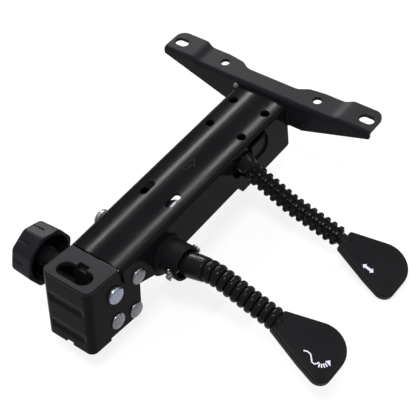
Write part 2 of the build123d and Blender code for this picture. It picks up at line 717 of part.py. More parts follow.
# Recline cup: the drum on the right wall
with BuildPart() as recline_cup:
    with BuildSketch(Plane.YZ.offset(HALF)):
        with Locations((CLAMP_Y, CLAMP_Z)):
            Circle(CUP_R)
    extrude(amount=CUP_LENGTH)
    with BuildSketch(Plane.YZ.offset(HALF)):
        with Locations((CLAMP_Y, CLAMP_Z)):
            Circle(CUP_RIM_R)
    extrude(amount=CUP_RIM_T)
    with BuildSketch(Plane.YZ.offset(HALF + CUP_FLOOR)):
        with Locations((CLAMP_Y, CLAMP_Z)):
            Circle(CUP_BORE_R)
    extrude(amount=CUP_LENGTH, mode=Mode.SUBTRACT)
    with BuildSketch(Plane.YZ.offset(HALF)):
        with Locations((CLAMP_Y, CLAMP_Z)):
            Circle(CLAMP_ROD_R)
        with Locations((CLAMP_Y - PUSH_PIN_OFFSET, CLAMP_Z), (CLAMP_Y + PUSH_PIN_OFFSET, CLAMP_Z)):
            Circle(PUSH_PIN_R + PLATE_GAP)
    extrude(amount=CUP_FLOOR, mode=Mode.SUBTRACT)
    with BuildSketch(Plane.XZ.offset(-(CLAMP_Y + CUP_RIM_R))):
        with Locations((HEAD_X, CLAMP_Z)):
            Circle(HEAD_PIN_R)
    extrude(amount=2 * CUP_RIM_R, mode=Mode.SUBTRACT)
recline_cup.part.label = "recline_cup"

# Recline pin through the cup, with its head in front and a split pin behind
PIN_OVERHANG = 4.5
RECLINE_HEAD_T = 2.0
RECLINE_HEAD_RIM = 1.5
SPLIT_PIN_R = 0.9
SPLIT_PIN_LENGTH = 10.0
SPLIT_PIN_EYE_R = 2.0
SPLIT_PIN_EYE_T = 1.4
SPLIT_PIN_Y = CLAMP_Y - CUP_R - PIN_OVERHANG / 2
with BuildPart() as recline_pin:
    with BuildSketch(Plane.XZ.offset(-(CLAMP_Y + CUP_R))):
        with Locations((HEAD_X, CLAMP_Z)):
            Circle(HEAD_PIN_R)
    extrude(amount=2 * CUP_R + PIN_OVERHANG)
    with BuildSketch(Plane.XZ.offset(-(CLAMP_Y + CUP_R + RECLINE_HEAD_T))):
        with Locations((HEAD_X, CLAMP_Z)):
            Circle(HEAD_PIN_R + RECLINE_HEAD_RIM)
    extrude(amount=RECLINE_HEAD_T)
    with BuildSketch(Plane.XY.offset(CLAMP_Z - HEAD_PIN_R)):
        with Locations((HEAD_X, SPLIT_PIN_Y)):
            Circle(SPLIT_PIN_R)
    extrude(amount=2 * HEAD_PIN_R, mode=Mode.SUBTRACT)
recline_pin.part.label = "recline_pin"

# Split pin through the recline pin's rear end, with its eye on top
with BuildPart() as split_pin:
    with BuildSketch(Plane.XY.offset(CLAMP_Z + SPLIT_PIN_LENGTH / 2)):
        with Locations((HEAD_X, SPLIT_PIN_Y)):
            Circle(SPLIT_PIN_R)
    extrude(amount=-SPLIT_PIN_LENGTH)
    with BuildSketch(Plane.YZ.offset(HEAD_X - SPLIT_PIN_EYE_T / 2)):
        with Locations((SPLIT_PIN_Y, CLAMP_Z + SPLIT_PIN_LENGTH / 2 + SPLIT_PIN_EYE_R - SPLIT_PIN_R)):
            Circle(SPLIT_PIN_EYE_R)
            Circle(SPLIT_PIN_EYE_R / 2, mode=Mode.SUBTRACT)
    extrude(amount=SPLIT_PIN_EYE_T)
split_pin.part.label = "split_pin"

# Recline lever: ball head on the pin, cranked rod
RECLINE_HEAD = Vector(HEAD_X, CLAMP_Y, CLAMP_Z)
RECLINE_BEND = RECLINE_HEAD + lever_axis(-RECLINE_ROOT_RISE) * RECLINE_ROOT_LENGTH
RECLINE_SLEEVE_END = RECLINE_BEND + lever_axis(RECLINE_DROP) * (RING_PITCH * RING_COUNT)
RECLINE_NECK_END = RECLINE_SLEEVE_END + lever_axis(RECLINE_DROP) * RECLINE_NECK
RECLINE_ROD_END = RECLINE_NECK_END + lever_axis(RECLINE_DROP) * PADDLE_SOCKET
with BuildPart() as recline_rod:
    with BuildLine() as recline_path:
        FilletPolyline(RECLINE_HEAD, RECLINE_BEND, RECLINE_ROD_END, radius=ROD_BEND_R)
    with BuildSketch(section_plane(RECLINE_HEAD, -RECLINE_ROOT_RISE)):
        Circle(ROD_R)
    sweep()
    with Locations(RECLINE_HEAD - Vector(0, 0, HEAD_ECCENTRICITY)):
        Sphere(HEAD_R, rotation=(0, 0, 180))
    with BuildSketch(Plane.XZ.offset(-(CLAMP_Y + HEAD_R))):
        with Locations((HEAD_X, CLAMP_Z)):
            Circle(HEAD_PIN_R + RUN)
    extrude(amount=2 * HEAD_R, mode=Mode.SUBTRACT)
recline_rod.part.label = "recline_rod"

# Ringed rubber sleeve with its smooth boot, which is narrower inside the cup's mouth
with BuildPart() as recline_sleeve:
    for ring in range(RING_COUNT):
        for share, radius in (
            (0, SLEEVE_ROOT_R), (0.25, SLEEVE_CREST_R), (0.75, SLEEVE_CREST_R), (1, SLEEVE_ROOT_R)
        ):
            station = RECLINE_BEND + lever_axis(RECLINE_DROP) * (RING_PITCH * (ring + share))
            with BuildSketch(section_plane(station, RECLINE_DROP)):
                Circle(radius)
        loft(ruled=True)
    boot_plane = Plane(
        origin=RECLINE_HEAD, x_dir=lever_axis(-RECLINE_ROOT_RISE), z_dir=(0, -1, 0)
    )
    with BuildSketch(boot_plane):
        with BuildLine():
            Polyline(
                (BOOT_START, 0),
                (BOOT_START, BOOT_MOUTH_R),
                (BOOT_MOUTH_END, BOOT_MOUTH_R),
                (BOOT_SHOULDER, BOOT_R),
                (RECLINE_ROOT_LENGTH, BOOT_END_R),
                (RECLINE_ROOT_LENGTH, 0),
                close=True,
            )
        make_face()
    revolve(axis=Axis(RECLINE_HEAD, lever_axis(-RECLINE_ROOT_RISE)))
    with Locations(RECLINE_BEND):
        Sphere(BOOT_END_R)
    add(recline_rod.part, mode=Mode.SUBTRACT)
recline_sleeve.part.label = "recline_sleeve"

recline_paddle = build_paddle(RECLINE_NECK_END, RECLINE_DROP, RECLINE_NECK)
recline_paddle.label = "recline_paddle"

# Clamp rod through both walls, from the cup's floor to the nut on the left
LEFT_STACK = HALF + WASHER_T + DISC_T + CLAMP_NUT_T
with BuildPart() as clamp_rod:
    with BuildSketch(Plane.YZ.offset(HALF + CUP_FLOOR)):
        with Locations((CLAMP_Y, CLAMP_Z)):
            Circle(CLAMP_ROD_R)
    extrude(amount=-(HALF + CUP_FLOOR + LEFT_STACK + CLAMP_ROD_STUB))
clamp_rod.part.label = "clamp_rod"

with BuildPart() as clamp_washers:
    for start, radius, thickness in ((HALF, WASHER_R, WASHER_T), (HALF + WASHER_T, DISC_R, DISC_T)):
        with BuildSketch(Plane.YZ.offset(-start)):
            with Locations((CLAMP_Y, CLAMP_Z)):
                Circle(radius)
                Circle(CLAMP_ROD_R, mode=Mode.SUBTRACT)
        extrude(amount=-thickness)
clamp_washers.part.label = "clamp_washers"

with BuildPart() as clamp_nut:
    with BuildSketch(Plane.YZ.offset(-(HALF + WASHER_T + DISC_T))):
        with Locations((CLAMP_Y, CLAMP_Z)):
            RegularPolygon(CLAMP_NUT_AF / 2, 6, major_radius=False)
            Circle(CLAMP_ROD_R, mode=Mode.SUBTRACT)
    extrude(amount=-CLAMP_NUT_T)
clamp_nut.part.label = "clamp_nut"

# Lock plates on the bracket's ears, each with an arc slot round the pivot
EAR_INNER = BRACKET_HALF - BRACKET_SHEET
PLATE_INNER = EAR_INNER - LOCK_PLATE_T
CLAMP_ARM = hypot(CLAMP_Y - PIVOT.Y, CLAMP_Z - PIVOT.Z)
CLAMP_ANGLE = degrees(atan2(CLAMP_Z - PIVOT.Z, CLAMP_Y - PIVOT.Y))
SLOT_HALF = CLAMP_ROD_R + SLOT_PLAY
SLOT_START = CLAMP_ANGLE + LOCK_SLOT_MARGIN
SLOT_SWEEP = RECLINE_RANGE + 2 * LOCK_SLOT_MARGIN
slot_path = CenterArc((PIVOT.Y, PIVOT.Z), CLAMP_ARM, SLOT_START, -SLOT_SWEEP)
with BuildPart() as lock_plates:
    for plate_x in (PLATE_INNER, -EAR_INNER):
        with BuildSketch(Plane.YZ.offset(plate_x)):
            with Locations((PIVOT.Y, PIVOT.Z)):
                Circle(LOCK_PLATE_HUB_R)
            for turn in (0, SLOT_SWEEP / 2, SLOT_SWEEP):
                spot = radians(SLOT_START - turn)
                with Locations((PIVOT.Y + CLAMP_ARM * cos(spot), PIVOT.Z + CLAMP_ARM * sin(spot))):
                    Circle(LOCK_ARM_HALF)
            make_hull()
            with Locations((PIVOT.Y, PIVOT.Z)):
                Circle(PIVOT_PIN_R + RUN, mode=Mode.SUBTRACT)
            SlotArc(slot_path, 2 * SLOT_HALF, mode=Mode.SUBTRACT)
        extrude(amount=LOCK_PLATE_T)
lock_plates.part.label = "lock_plates"

# Spacer tube on the clamp rod between the lock plates
SPACER_HALF = PLATE_INNER - THRUST_GAP
SPACER_WALL = 2.5
with BuildPart() as clamp_spacer:
    with BuildSketch(Plane.YZ.offset(-SPACER_HALF)):
        with Locations((CLAMP_Y, CLAMP_Z)):
            Circle(CLAMP_ROD_R + SPACER_WALL)
            Circle(CLAMP_ROD_R, mode=Mode.SUBTRACT)
    extrude(amount=2 * SPACER_HALF)
clamp_spacer.part.label = "clamp_spacer"

# Thrust pad on the right, with two push pins through the wall into the cup
PUSH_PLATE_X = HEAD_X - HEAD_R - RUN - PUSH_PLATE_T
with BuildPart() as thrust_pad:
    with BuildSketch(Plane.YZ.offset(EAR_INNER + THRUST_GAP)):
        with Locations((CLAMP_Y, CLAMP_Z)):
            Circle(PAD_R)
            Circle(CLAMP_ROD_R + RUN, mode=Mode.SUBTRACT)
    extrude(amount=PAD_T)
    with BuildSketch(Plane.YZ.offset(EAR_INNER + THRUST_GAP)):
        with Locations((CLAMP_Y - PUSH_PIN_OFFSET, CLAMP_Z), (CLAMP_Y + PUSH_PIN_OFFSET, CLAMP_Z)):
            Circle(PUSH_PIN_R)
    extrude(amount=PUSH_PLATE_X + PUSH_PLATE_T - EAR_INNER - THRUST_GAP)
thrust_pad.part.label = "thrust_pad"

# Push plate inside the cup, riveted on the push pins and resting on the lever's head
with BuildPart() as push_plate:
    with BuildSketch(Plane.YZ.offset(PUSH_PLATE_X)):
        with Locations((CLAMP_Y, CLAMP_Z)):
            Circle(PUSH_PLATE_R)
        with Locations((CLAMP_Y - PUSH_PIN_OFFSET, CLAMP_Z), (CLAMP_Y + PUSH_PIN_OFFSET, CLAMP_Z)):
            Circle(PUSH_PIN_R, mode=Mode.SUBTRACT)
    extrude(amount=PUSH_PLATE_T)
push_plate.part.label = "push_plate"

# Friction ring on the left
with BuildPart() as friction_ring:
    with BuildSketch(Plane.YZ.offset(-INNER_HALF)):
        with Locations((CLAMP_Y, CLAMP_Z)):
            Circle(PAD_R)
            Circle(CLAMP_ROD_R, mode=Mode.SUBTRACT)
    extrude(amount=INNER_HALF - EAR_INNER - THRUST_GAP)
friction_ring.part.label = "friction_ring"

# Pivot pin through the beam's walls and the bracket's ears
with BuildPart() as pivot_pin:
    with BuildSketch(Plane.YZ.offset(-HALF)):
        with Locations((PIVOT.Y, PIVOT.Z)):
            Circle(PIVOT_PIN_R)
    extrude(amount=BEAM_WIDTH)
    for plane in (Plane.YZ.offset(HALF), Plane.YZ.offset(-HALF - PIN_HEAD_T)):
        with BuildSketch(plane):
            with Locations((PIVOT.Y, PIVOT.Z)):
                Circle(PIN_HEAD_R)
        extrude(amount=PIN_HEAD_T)
    rims = pivot_pin.edges().filter_by(GeomType.CIRCLE)
    chamfer([rims.sort_by(Axis.X)[0], rims.sort_by(Axis.X)[-1]], length=PIN_HEAD_CHAMFER)
pivot_pin.part.label = "pivot_pin"

# Back bracket: bent U with ears, cut to its side outline
with BuildPart() as bracket_shell:
    with BuildSketch(bracket_level(-BRACKET_CAP_T)) as shell_plan:
        plan_length = BRACKET_DEPTH + EAR_FRONT + EAR_HUB_R
        with Locations((0, -BRACKET_DEPTH)):
            Rectangle(2 * BRACKET_HALF, plan_length, align=(Align.CENTER, Align.MIN))
        fillet(shell_plan.vertices().group_by(Axis.Y)[0], radius=BRACKET_CORNER_R)
    extrude(amount=-(BRACKET_HEIGHT - BRACKET_CAP_T))
    with BuildSketch(bracket_level(-BRACKET_CAP_T)) as shell_inside:
        with Locations((0, -BRACKET_DEPTH + BRACKET_SHEET)):
            Rectangle(2 * EAR_INNER, plan_length, align=(Align.CENTER, Align.MIN))
        fillet(shell_inside.vertices().group_by(Axis.Y)[0], radius=BRACKET_CORNER_R - BRACKET_SHEET)
    extrude(amount=-(BRACKET_HEIGHT - BRACKET_CAP_T), mode=Mode.SUBTRACT)
    # Side outline with the hub round the pivot, the ear and the step in the lower edge
    with BuildSketch(bracket_plane(0)) as ear_outline:
        hub_drop = (EAR_HUB_R**2 - (EAR_FRONT - PIVOT_FORWARD) ** 2) ** 0.5
        hub_low = (EAR_FRONT, -PIVOT_DOWN - hub_drop)
        hub_top = (PIVOT_FORWARD, -PIVOT_DOWN + EAR_HUB_R)
        with BuildLine():
            Polyline(
                hub_low,
                (EAR_FRONT, -EAR_LOW),
                (EAR_STEP_Y, -EAR_LOW),
                (EAR_STEP_Y, -BRACKET_HEIGHT),
                (-BRACKET_DEPTH, -BRACKET_HEIGHT),
                (-BRACKET_DEPTH, -BRACKET_CAP_T),
                (PIVOT_FORWARD - EAR_HUB_R - BRACKET_CORNER_R / 2, -BRACKET_CAP_T),
                hub_top,
            )
            ThreePointArc(hub_top, (PIVOT_FORWARD + EAR_HUB_R, -PIVOT_DOWN), hub_low)
        make_face()
        low_corner = ear_outline.vertices().filter_by_position(Axis.X, -BRACKET_DEPTH, 100)
        fillet(low_corner.group_by(Axis.Y)[1].sort_by(Axis.X)[-1], radius=EAR_CORNER_R)
    extrude(amount=2 * BRACKET_HALF, both=True, mode=Mode.INTERSECT)
    # Bores for the pivot, the spacer rivets and the clamp bolt
    with BuildSketch(bracket_plane(0)):
        with Locations((PIVOT_FORWARD, -PIVOT_DOWN)):
            Circle(PIVOT_PIN_R + RUN)
        with Locations(
            (LOW_FRONT_PIN_Y, LOW_FRONT_PIN_Z), (LOW_REAR_PIN_Y, LOW_REAR_PIN_Z)
        ):
            Circle(SPACER_PIN_R)
        with Locations((BOLT_Y, BOLT_Z)):
            Circle(BOLT_R)
    extrude(amount=2 * BRACKET_HALF, both=True, mode=Mode.SUBTRACT)
    # Pressed ribs across the rear wall: a groove outside and its ridge inside
    for rib_z in (RIB_ONE_Z, RIB_TWO_Z):
        for shift, mode in ((BRACKET_SHEET, Mode.ADD), (0, Mode.SUBTRACT)):
            with BuildSketch(bracket_plane(-RIB_HALF_LENGTH)):
                wall = -BRACKET_DEPTH + shift
                with BuildLine():
                    Polyline(
                        (wall, rib_z - RIB_WIDTH / 2),
                        (wall, rib_z + RIB_WIDTH / 2),
                        (wall + RIB_DEPTH, rib_z + RIB_WIDTH / 6),
                        (wall + RIB_DEPTH, rib_z - RIB_WIDTH / 6),
                        close=True,
                    )
                make_face()
            extrude(amount=2 * RIB_HALF_LENGTH, mode=mode)
    with BuildSketch(bracket_plane(-NOTCH_WIDTH / 2)):
        with Locations((-BRACKET_DEPTH, -BRACKET_HEIGHT)):
            Rectangle(BRACKET_SHEET, NOTCH_HEIGHT, align=(Align.MIN, Align.MIN))
    extrude(amount=NOTCH_WIDTH, mode=Mode.SUBTRACT)
bracket_shell.part.label = "bracket_shell"

# Bracket cap with the slot for the flat-oval upright
with BuildPart() as bracket_cap:
    with BuildSketch(bracket_level(0)) as cap_plan:
        with Locations((0, -BRACKET_DEPTH)):
            Rectangle(2 * BRACKET_HALF, BRACKET_DEPTH, align=(Align.CENTER, Align.MIN))
        fillet(cap_plan.vertices().group_by(Axis.Y)[0], radius=BRACKET_CORNER_R)
    extrude(amount=-BRACKET_CAP_T)
    chamfer(bracket_cap.faces().sort_by(Axis.Z)[-1].edges(), length=BRACKET_CAP_EDGE)
    with BuildSketch(bracket_level(0)):
        with Locations((0, UPRIGHT_SLOT_Y)):
            SlotOverall(UPRIGHT_SLOT_LENGTH, UPRIGHT_SLOT_WIDTH)
        with Locations((0, UPRIGHT_SLOT_Y)):
            notch_reach = UPRIGHT_SLOT_WIDTH / 2 + SHOE_NOTCH_DEPTH
            Rectangle(SHOE_NOTCH_WIDTH, notch_reach, align=(Align.CENTER, Align.MIN))
    extrude(amount=-BRACKET_CAP_T, mode=Mode.SUBTRACT)
bracket_cap.part.label = "bracket_cap"

# Guide shoe between the clamp bolt and the upright
SHOE_FRONT_Y = BOLT_Y - BOLT_R
SHOE_REAR_Y = UPRIGHT_SLOT_Y + UPRIGHT_SLOT_WIDTH / 2 + PLATE_GAP
with BuildPart() as guide_shoe:
    with BuildSketch(bracket_level(-BRACKET_CAP_T)) as shoe_plan:
        with Locations((0, SHOE_REAR_Y)):
            shoe_width = SHOE_NOTCH_WIDTH + 2 * BRACKET_CAP_T
            Rectangle(shoe_width, SHOE_FRONT_Y - SHOE_REAR_Y, align=(Align.CENTER, Align.MIN))
    extrude(amount=-SHOE_HEIGHT)
guide_shoe.part.label = "guide_shoe"

# Spacer rivets low on the bracket
with BuildPart() as bracket_rivets:
    for pin_y, pin_z in ((LOW_FRONT_PIN_Y, LOW_FRONT_PIN_Z), (LOW_REAR_PIN_Y, LOW_REAR_PIN_Z)):
        with BuildSketch(bracket_plane(-BRACKET_HALF)):
            with Locations((pin_y, pin_z)):
                Circle(SPACER_PIN_R)
        extrude(amount=2 * BRACKET_HALF)
        for plane in (bracket_plane(BRACKET_HALF), bracket_plane(-BRACKET_HALF - PIN_HEAD_T)):
            with BuildSketch(plane):
                with Locations((pin_y, pin_z)):
                    Circle(PIN_HEAD_R)
            extrude(amount=PIN_HEAD_T)
    outer_rims = bracket_rivets.edges().filter_by(GeomType.CIRCLE).group_by(Axis.X)
    chamfer(outer_rims[0] + outer_rims[-1], length=PIN_HEAD_CHAMFER)
bracket_rivets.part.label = "bracket_rivets"

# Clamp bolt with its domed head
BOLT_TIP_X = KNOB_BACK_X - KNOB_HUB_SETBACK - BOLT_REACH + BOLT_END_GAP
with BuildPart() as clamp_bolt:
    with BuildSketch(Plane.YZ.offset(BOLT_TIP_X)):
        with Locations((BOLT.Y, BOLT.Z)):
            Circle(BOLT_R)
    extrude(amount=BRACKET_HALF - BOLT_TIP_X)
    with BuildSketch(Plane.YZ.offset(BRACKET_HALF)):
        with Locations((BOLT.Y, BOLT.Z)):
            Circle(BOLT_HEAD_R)
    extrude(amount=BOLT_HEAD_T)
    chamfer(clamp_bolt.edges().filter_by(GeomType.CIRCLE).sort_by(Axis.X)[-1], length=BOLT_HEAD_CHAMFER)
clamp_bolt.part.label = "clamp_bolt"

# Knob sleeve between the bracket's left side and the knob's hub
KNOB_HUB_X = KNOB_BACK_X - KNOB_HUB_SETBACK
with BuildPart() as knob_sleeve:
    with BuildSketch(Plane.YZ.offset(KNOB_HUB_X)):
        with Locations((BOLT.Y, BOLT.Z)):
            Circle(SLEEVE_R)
            Circle(BOLT_R + RUN, mode=Mode.SUBTRACT)
    extrude(amount=-BRACKET_HALF - THRUST_GAP - KNOB_HUB_X)
knob_sleeve.part.label = "knob_sleeve"

# Hand knob: eight-sided and tapered, hollow at the back round its hub, with a groove in each side
knob_plane = Plane(origin=(KNOB_BACK_X, BOLT.Y, BOLT.Z), x_dir=(0, 1, 0), z_dir=(-1, 0, 0))
with BuildPart() as knob:
    with BuildSketch(knob_plane) as knob_outline:
        RegularPolygon(KNOB_RIDGE_R, KNOB_SIDES, rotation=-KNOB_TURN)
        fillet(knob_outline.vertices(), radius=KNOB_RIDGE_FILLET)
    extrude(amount=KNOB_THICKNESS, taper=KNOB_TAPER)
    chamfer(knob.faces().sort_by(Axis.X)[0].edges(), length=KNOB_FRONT_CHAMFER)
    with BuildSketch(knob_plane) as knob_hollow:
        Circle(KNOB_RIDGE_R * cos(pi / KNOB_SIDES) - KNOB_RIM_WALL)
        Circle(KNOB_HUB_R, mode=Mode.SUBTRACT)
    extrude(amount=KNOB_THICKNESS - KNOB_FACE_T, mode=Mode.SUBTRACT)
    with BuildSketch(knob_plane):
        Circle(KNOB_HUB_R)
    extrude(amount=KNOB_HUB_SETBACK, mode=Mode.SUBTRACT)
    with BuildSketch(knob_plane.offset(KNOB_THICKNESS)):
        groove_start = 180 / KNOB_SIDES - KNOB_TURN
        groove_floor = KNOB_RIDGE_R * cos(pi / KNOB_SIDES) - KNOB_GROOVE_DEPTH
        with PolarLocations(groove_floor, KNOB_SIDES, start_angle=groove_start):
            Rectangle(KNOB_RIDGE_R, KNOB_GROOVE_WIDTH, align=(Align.MIN, Align.CENTER))
    extrude(amount=-KNOB_GROOVE_LENGTH, mode=Mode.SUBTRACT)
    with BuildSketch(knob_plane.offset(KNOB_HUB_SETBACK)):
        Circle(INSERT_R)
    extrude(amount=INSERT_LENGTH, mode=Mode.SUBTRACT)
    with BuildSketch(knob_plane.offset(KNOB_HUB_SETBACK)):
        Circle(BOLT_R + RUN)
    extrude(amount=BOLT_REACH, mode=Mode.SUBTRACT)
knob.part.label = "knob"

# Threaded insert moulded into the knob's hub
with BuildPart() as knob_insert:
    with BuildSketch(knob_plane.offset(KNOB_HUB_SETBACK)):
        Circle(INSERT_R)
        Circle(BOLT_R + RUN, mode=Mode.SUBTRACT)
    extrude(amount=INSERT_LENGTH)
knob_insert.part.label = "knob_insert"

# Anchor plate across the beam with the stop stud under the right oblong hole
with BuildPart() as anchor_plate:
    with BuildSketch(Plane.XY.offset(STUD_PLATE_Z)):
        with Locations((0, OBLONG_Y)):
            Rectangle(2 * INNER_HALF, 2 * STUD_PLATE_HALF_Y)
            with Locations((OBLONG_SPACING_X / 2, 0)):
                Circle(STUD_SHANK_R, mode=Mode.SUBTRACT)
    extrude(amount=STUD_PLATE_T)
anchor_plate.part.label = "anchor_plate"

STUD_TOP_Z = SHOULDER_Z - BEAM_SHEET - STUD_HEAD_GAP
with BuildPart() as stop_stud:
    with BuildSketch(Plane.XY.offset(STUD_PLATE_Z - STUD_END)):
        with Locations((OBLONG_SPACING_X / 2, OBLONG_Y)):
            Circle(STUD_SHANK_R)
    extrude(amount=STUD_TOP_Z - STUD_PLATE_Z + STUD_END)
    with BuildSketch(Plane.XY.offset(STUD_TOP_Z)):
        with Locations((OBLONG_SPACING_X / 2, OBLONG_Y)):
            Circle(STUD_HEAD_R)
    extrude(amount=-STUD_HEAD_T)
stop_stud.part.label = "stop_stud"

PIECES = [
    beam_channel.part, front_crossbar.part, weld_beads.part, socket_cradle.part, taper_socket.part,
    socket_saddle.part, lift_hinge_pin.part, lift_rod.part, lift_sleeve.part, lift_paddle,
    recline_cup.part, recline_pin.part, split_pin.part, recline_rod.part, recline_sleeve.part, recline_paddle,
    clamp_rod.part, clamp_washers.part, clamp_nut.part, lock_plates.part, clamp_spacer.part,
    thrust_pad.part, push_plate.part, friction_ring.part, pivot_pin.part, bracket_shell.part, bracket_cap.part,
    guide_shoe.part, bracket_rivets.part, clamp_bolt.part, knob_sleeve.part, knob.part,
    knob_insert.part, anchor_plate.part, stop_stud.part,
]
for piece in PIECES:
    export_step(piece, f"parts/{piece.label}.step")
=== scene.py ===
"""Office chair seat mechanism, dressed for the camera: painted beam, crossbar and back bracket, levers and knob.

Sizes are in millimetres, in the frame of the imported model: the origin is the gas column socket's mouth, +Z
up, +Y to the front of the chair and +X to the side of the two levers. Blender's own unit is the metre.
"""

import json
import logging
from dataclasses import dataclass, field
from enum import Enum
from math import acos, atan2, cos, degrees, pi, radians, sin, tan
from typing import Any, Callable, Sequence

import bmesh
import bpy
from mathutils import Matrix, Vector
from mathutils.geometry import convex_hull_2d

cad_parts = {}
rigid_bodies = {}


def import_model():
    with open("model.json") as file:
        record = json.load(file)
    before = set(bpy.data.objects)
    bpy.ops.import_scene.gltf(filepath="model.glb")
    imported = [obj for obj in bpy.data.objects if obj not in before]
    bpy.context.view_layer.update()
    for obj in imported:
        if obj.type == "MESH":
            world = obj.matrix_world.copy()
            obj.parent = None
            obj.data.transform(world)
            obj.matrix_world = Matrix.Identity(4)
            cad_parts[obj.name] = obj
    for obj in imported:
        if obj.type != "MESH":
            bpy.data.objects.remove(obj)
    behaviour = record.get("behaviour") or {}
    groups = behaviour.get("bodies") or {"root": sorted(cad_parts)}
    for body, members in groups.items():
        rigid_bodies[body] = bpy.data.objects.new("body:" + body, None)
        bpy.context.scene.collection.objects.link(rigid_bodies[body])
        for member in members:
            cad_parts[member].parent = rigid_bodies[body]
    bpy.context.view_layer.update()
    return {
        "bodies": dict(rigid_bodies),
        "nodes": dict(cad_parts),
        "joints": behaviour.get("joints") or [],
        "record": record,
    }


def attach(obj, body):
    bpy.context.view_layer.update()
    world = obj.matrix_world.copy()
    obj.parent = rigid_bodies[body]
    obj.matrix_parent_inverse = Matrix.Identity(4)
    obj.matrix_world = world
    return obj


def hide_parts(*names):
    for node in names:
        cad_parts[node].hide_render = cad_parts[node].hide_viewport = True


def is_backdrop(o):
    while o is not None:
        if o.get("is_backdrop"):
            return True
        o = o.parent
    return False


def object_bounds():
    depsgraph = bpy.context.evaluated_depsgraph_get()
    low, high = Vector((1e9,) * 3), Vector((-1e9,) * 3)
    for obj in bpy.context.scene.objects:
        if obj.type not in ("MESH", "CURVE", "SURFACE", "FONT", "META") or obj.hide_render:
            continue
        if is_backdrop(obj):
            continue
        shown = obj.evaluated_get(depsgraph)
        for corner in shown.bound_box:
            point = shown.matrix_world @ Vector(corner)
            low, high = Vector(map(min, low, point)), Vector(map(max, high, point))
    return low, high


MM = 0.001
MERGE = MM / 1000
HEAD_RADIUS, HEAD_RISE, SHANK = 7.4, 2.6, 4.0
DOME = ((0.0, 1.0), (0.3, 1.0), (0.5, 0.97), (0.7, 0.9), (0.86, 0.76), (0.95, 0.5), (1.0, 0.22), (1.01, 0.0))
Point = tuple[float, float]
Spot = tuple[float, float, float]
Points = tuple[Point, ...]
Spots = tuple[Spot, ...]
Solid = bpy.types.Object
ops = bpy.ops.mesh
log = logging.getLogger("seat_mechanism")


class Body(str, Enum):
    """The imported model's bodies."""

    BEAM = "seat_beam"
    BRACKET = "back_bracket"
    CARRIER = "knob_carrier"
    KNOB = "knob"
    RECLINE = "recline_lever"
    PAD = "thrust_pad"
    LIFT = "lift_lever"


class Slot(str, Enum):
    """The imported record's material slots."""

    PAINT = "frame_paint"
    ZINC = "zinc"
    FRICTION = "friction"
    MOULDING = "moulding"
    STEEL = "steel_plate"
    BRASS = "insert_brass"
    LEVER = "lever_steel"
    RUBBER = "sleeve_rubber"


# --- finishes


def linear(code: str) -> tuple[float, ...]:
    """Turns an sRGB colour such as "#rrggbb" into Blender's linear colour, with an alpha of 1."""
    parts = (int(code[i:i + 2], 16) / 255 for i in (1, 3, 5))
    return (*(p / 12.92 if p <= 0.04045 else ((p + 0.055) / 1.055) ** 2.4 for p in parts), 1.0)


def add_node(
    tree: bpy.types.NodeTree, kind: str, settings: dict[str, Any], links: dict[str | int, Any]
) -> bpy.types.Node:
    """Adds a shader node.

    Args:
        tree: the node tree.
        kind: its Blender type without ShaderNode.
        settings: values by input name, or else by property name.
        links: output sockets by the name or number of their input.

    Returns:
        The new node.
    """
    node = tree.nodes.new(f"ShaderNode{kind}")
    for key, value in settings.items():
        if key in node.inputs:
            node.inputs[key].default_value = value
        else:
            setattr(node, key, value)
    for key, socket in links.items():
        tree.links.new(socket, node.inputs[key])
    return node


@dataclass(frozen=True)
class Finish:
    """A surface finish, with the name of one of the record's slots.

    The grain is the skin of the surface, such as orange peel or plating crystals, and the patches are its slow
    change of gloss and tone.
    """

    slot: Slot
    name: str
    colour: str
    tint: str
    roughness: float
    gloss_swing: float
    grain_mm: float
    grain_depth_mm: float
    patch_mm: float
    specular: float = 0.5
    metallic: float = 0.0
    patch_range: Point = (0.3, 0.7)

    def material(self) -> bpy.types.Material:
        """Builds the finish's material.

        Returns:
            The material, made once.
        """
        found = bpy.data.materials.get(self.name)
        if found:
            return found
        made = bpy.data.materials.new(self.name)
        made.use_nodes = True
        tree = made.node_tree
        shader = tree.nodes["Principled BSDF"]
        shader.inputs["Metallic"].default_value = self.metallic
        if not self.metallic:
            shader.inputs["Specular IOR Level"].default_value = self.specular
        place = add_node(tree, "TexCoord", {}, {}).outputs["Object"]
        patch, grain = (
            add_node(tree, "TexNoise", {"Scale": 1 / (size * MM), "Detail": detail}, {"Vector": place}).outputs["Fac"]
            for size, detail in ((self.patch_mm, 4.0), (self.grain_mm, 2.0))
        )
        tones = {"data_type": "RGBA", "A": linear(self.colour), "B": linear(self.tint)}
        gloss = {
            "From Min": self.patch_range[0], "From Max": self.patch_range[1],
            "To Min": self.roughness - self.gloss_swing, "To Max": self.roughness + self.gloss_swing,
        }
        bump = {"Strength": 1.0, "Distance": self.grain_depth_mm * MM}
        for target, kind, settings, entry, source, result in (
            ("Base Color", "Mix", tones, "Factor", patch, "Result"),
            ("Roughness", "MapRange", gloss, "Value", patch, "Result"),
            ("Normal", "Bump", bump, "Height", grain, "Normal"),
        ):
            node = add_node(tree, kind, settings, {entry: source})
            tree.links.new(node.outputs[result], shader.inputs[target])
        return made


# Black powder coat on the pressed steel: near black, glossy, with a faint orange peel
PAINT = Finish(Slot.PAINT, "black_powder_coat", "#0b0a0c", "#100f11", 0.1, 0.02, 1.8, 0.001, 60.0, 0.024)
# The same coat where it was sprayed dry: matt
MATT = Finish(Slot.PAINT, "black_coat_matt", "#0d0c0e", "#121113", 0.5, 0.04, 0.9, 0.01, 30.0, 0.03)
# Satin coat of the crossbar, the cradle and the bracket's cap; on the beam's embossed arrow its lighter tone is a
# painted highlight
SATIN = Finish(Slot.PAINT, "satin_black_coat", "#121114", "#19181b", 0.32, 0.05, 0.9, 0.01, 26.0, 0.03)
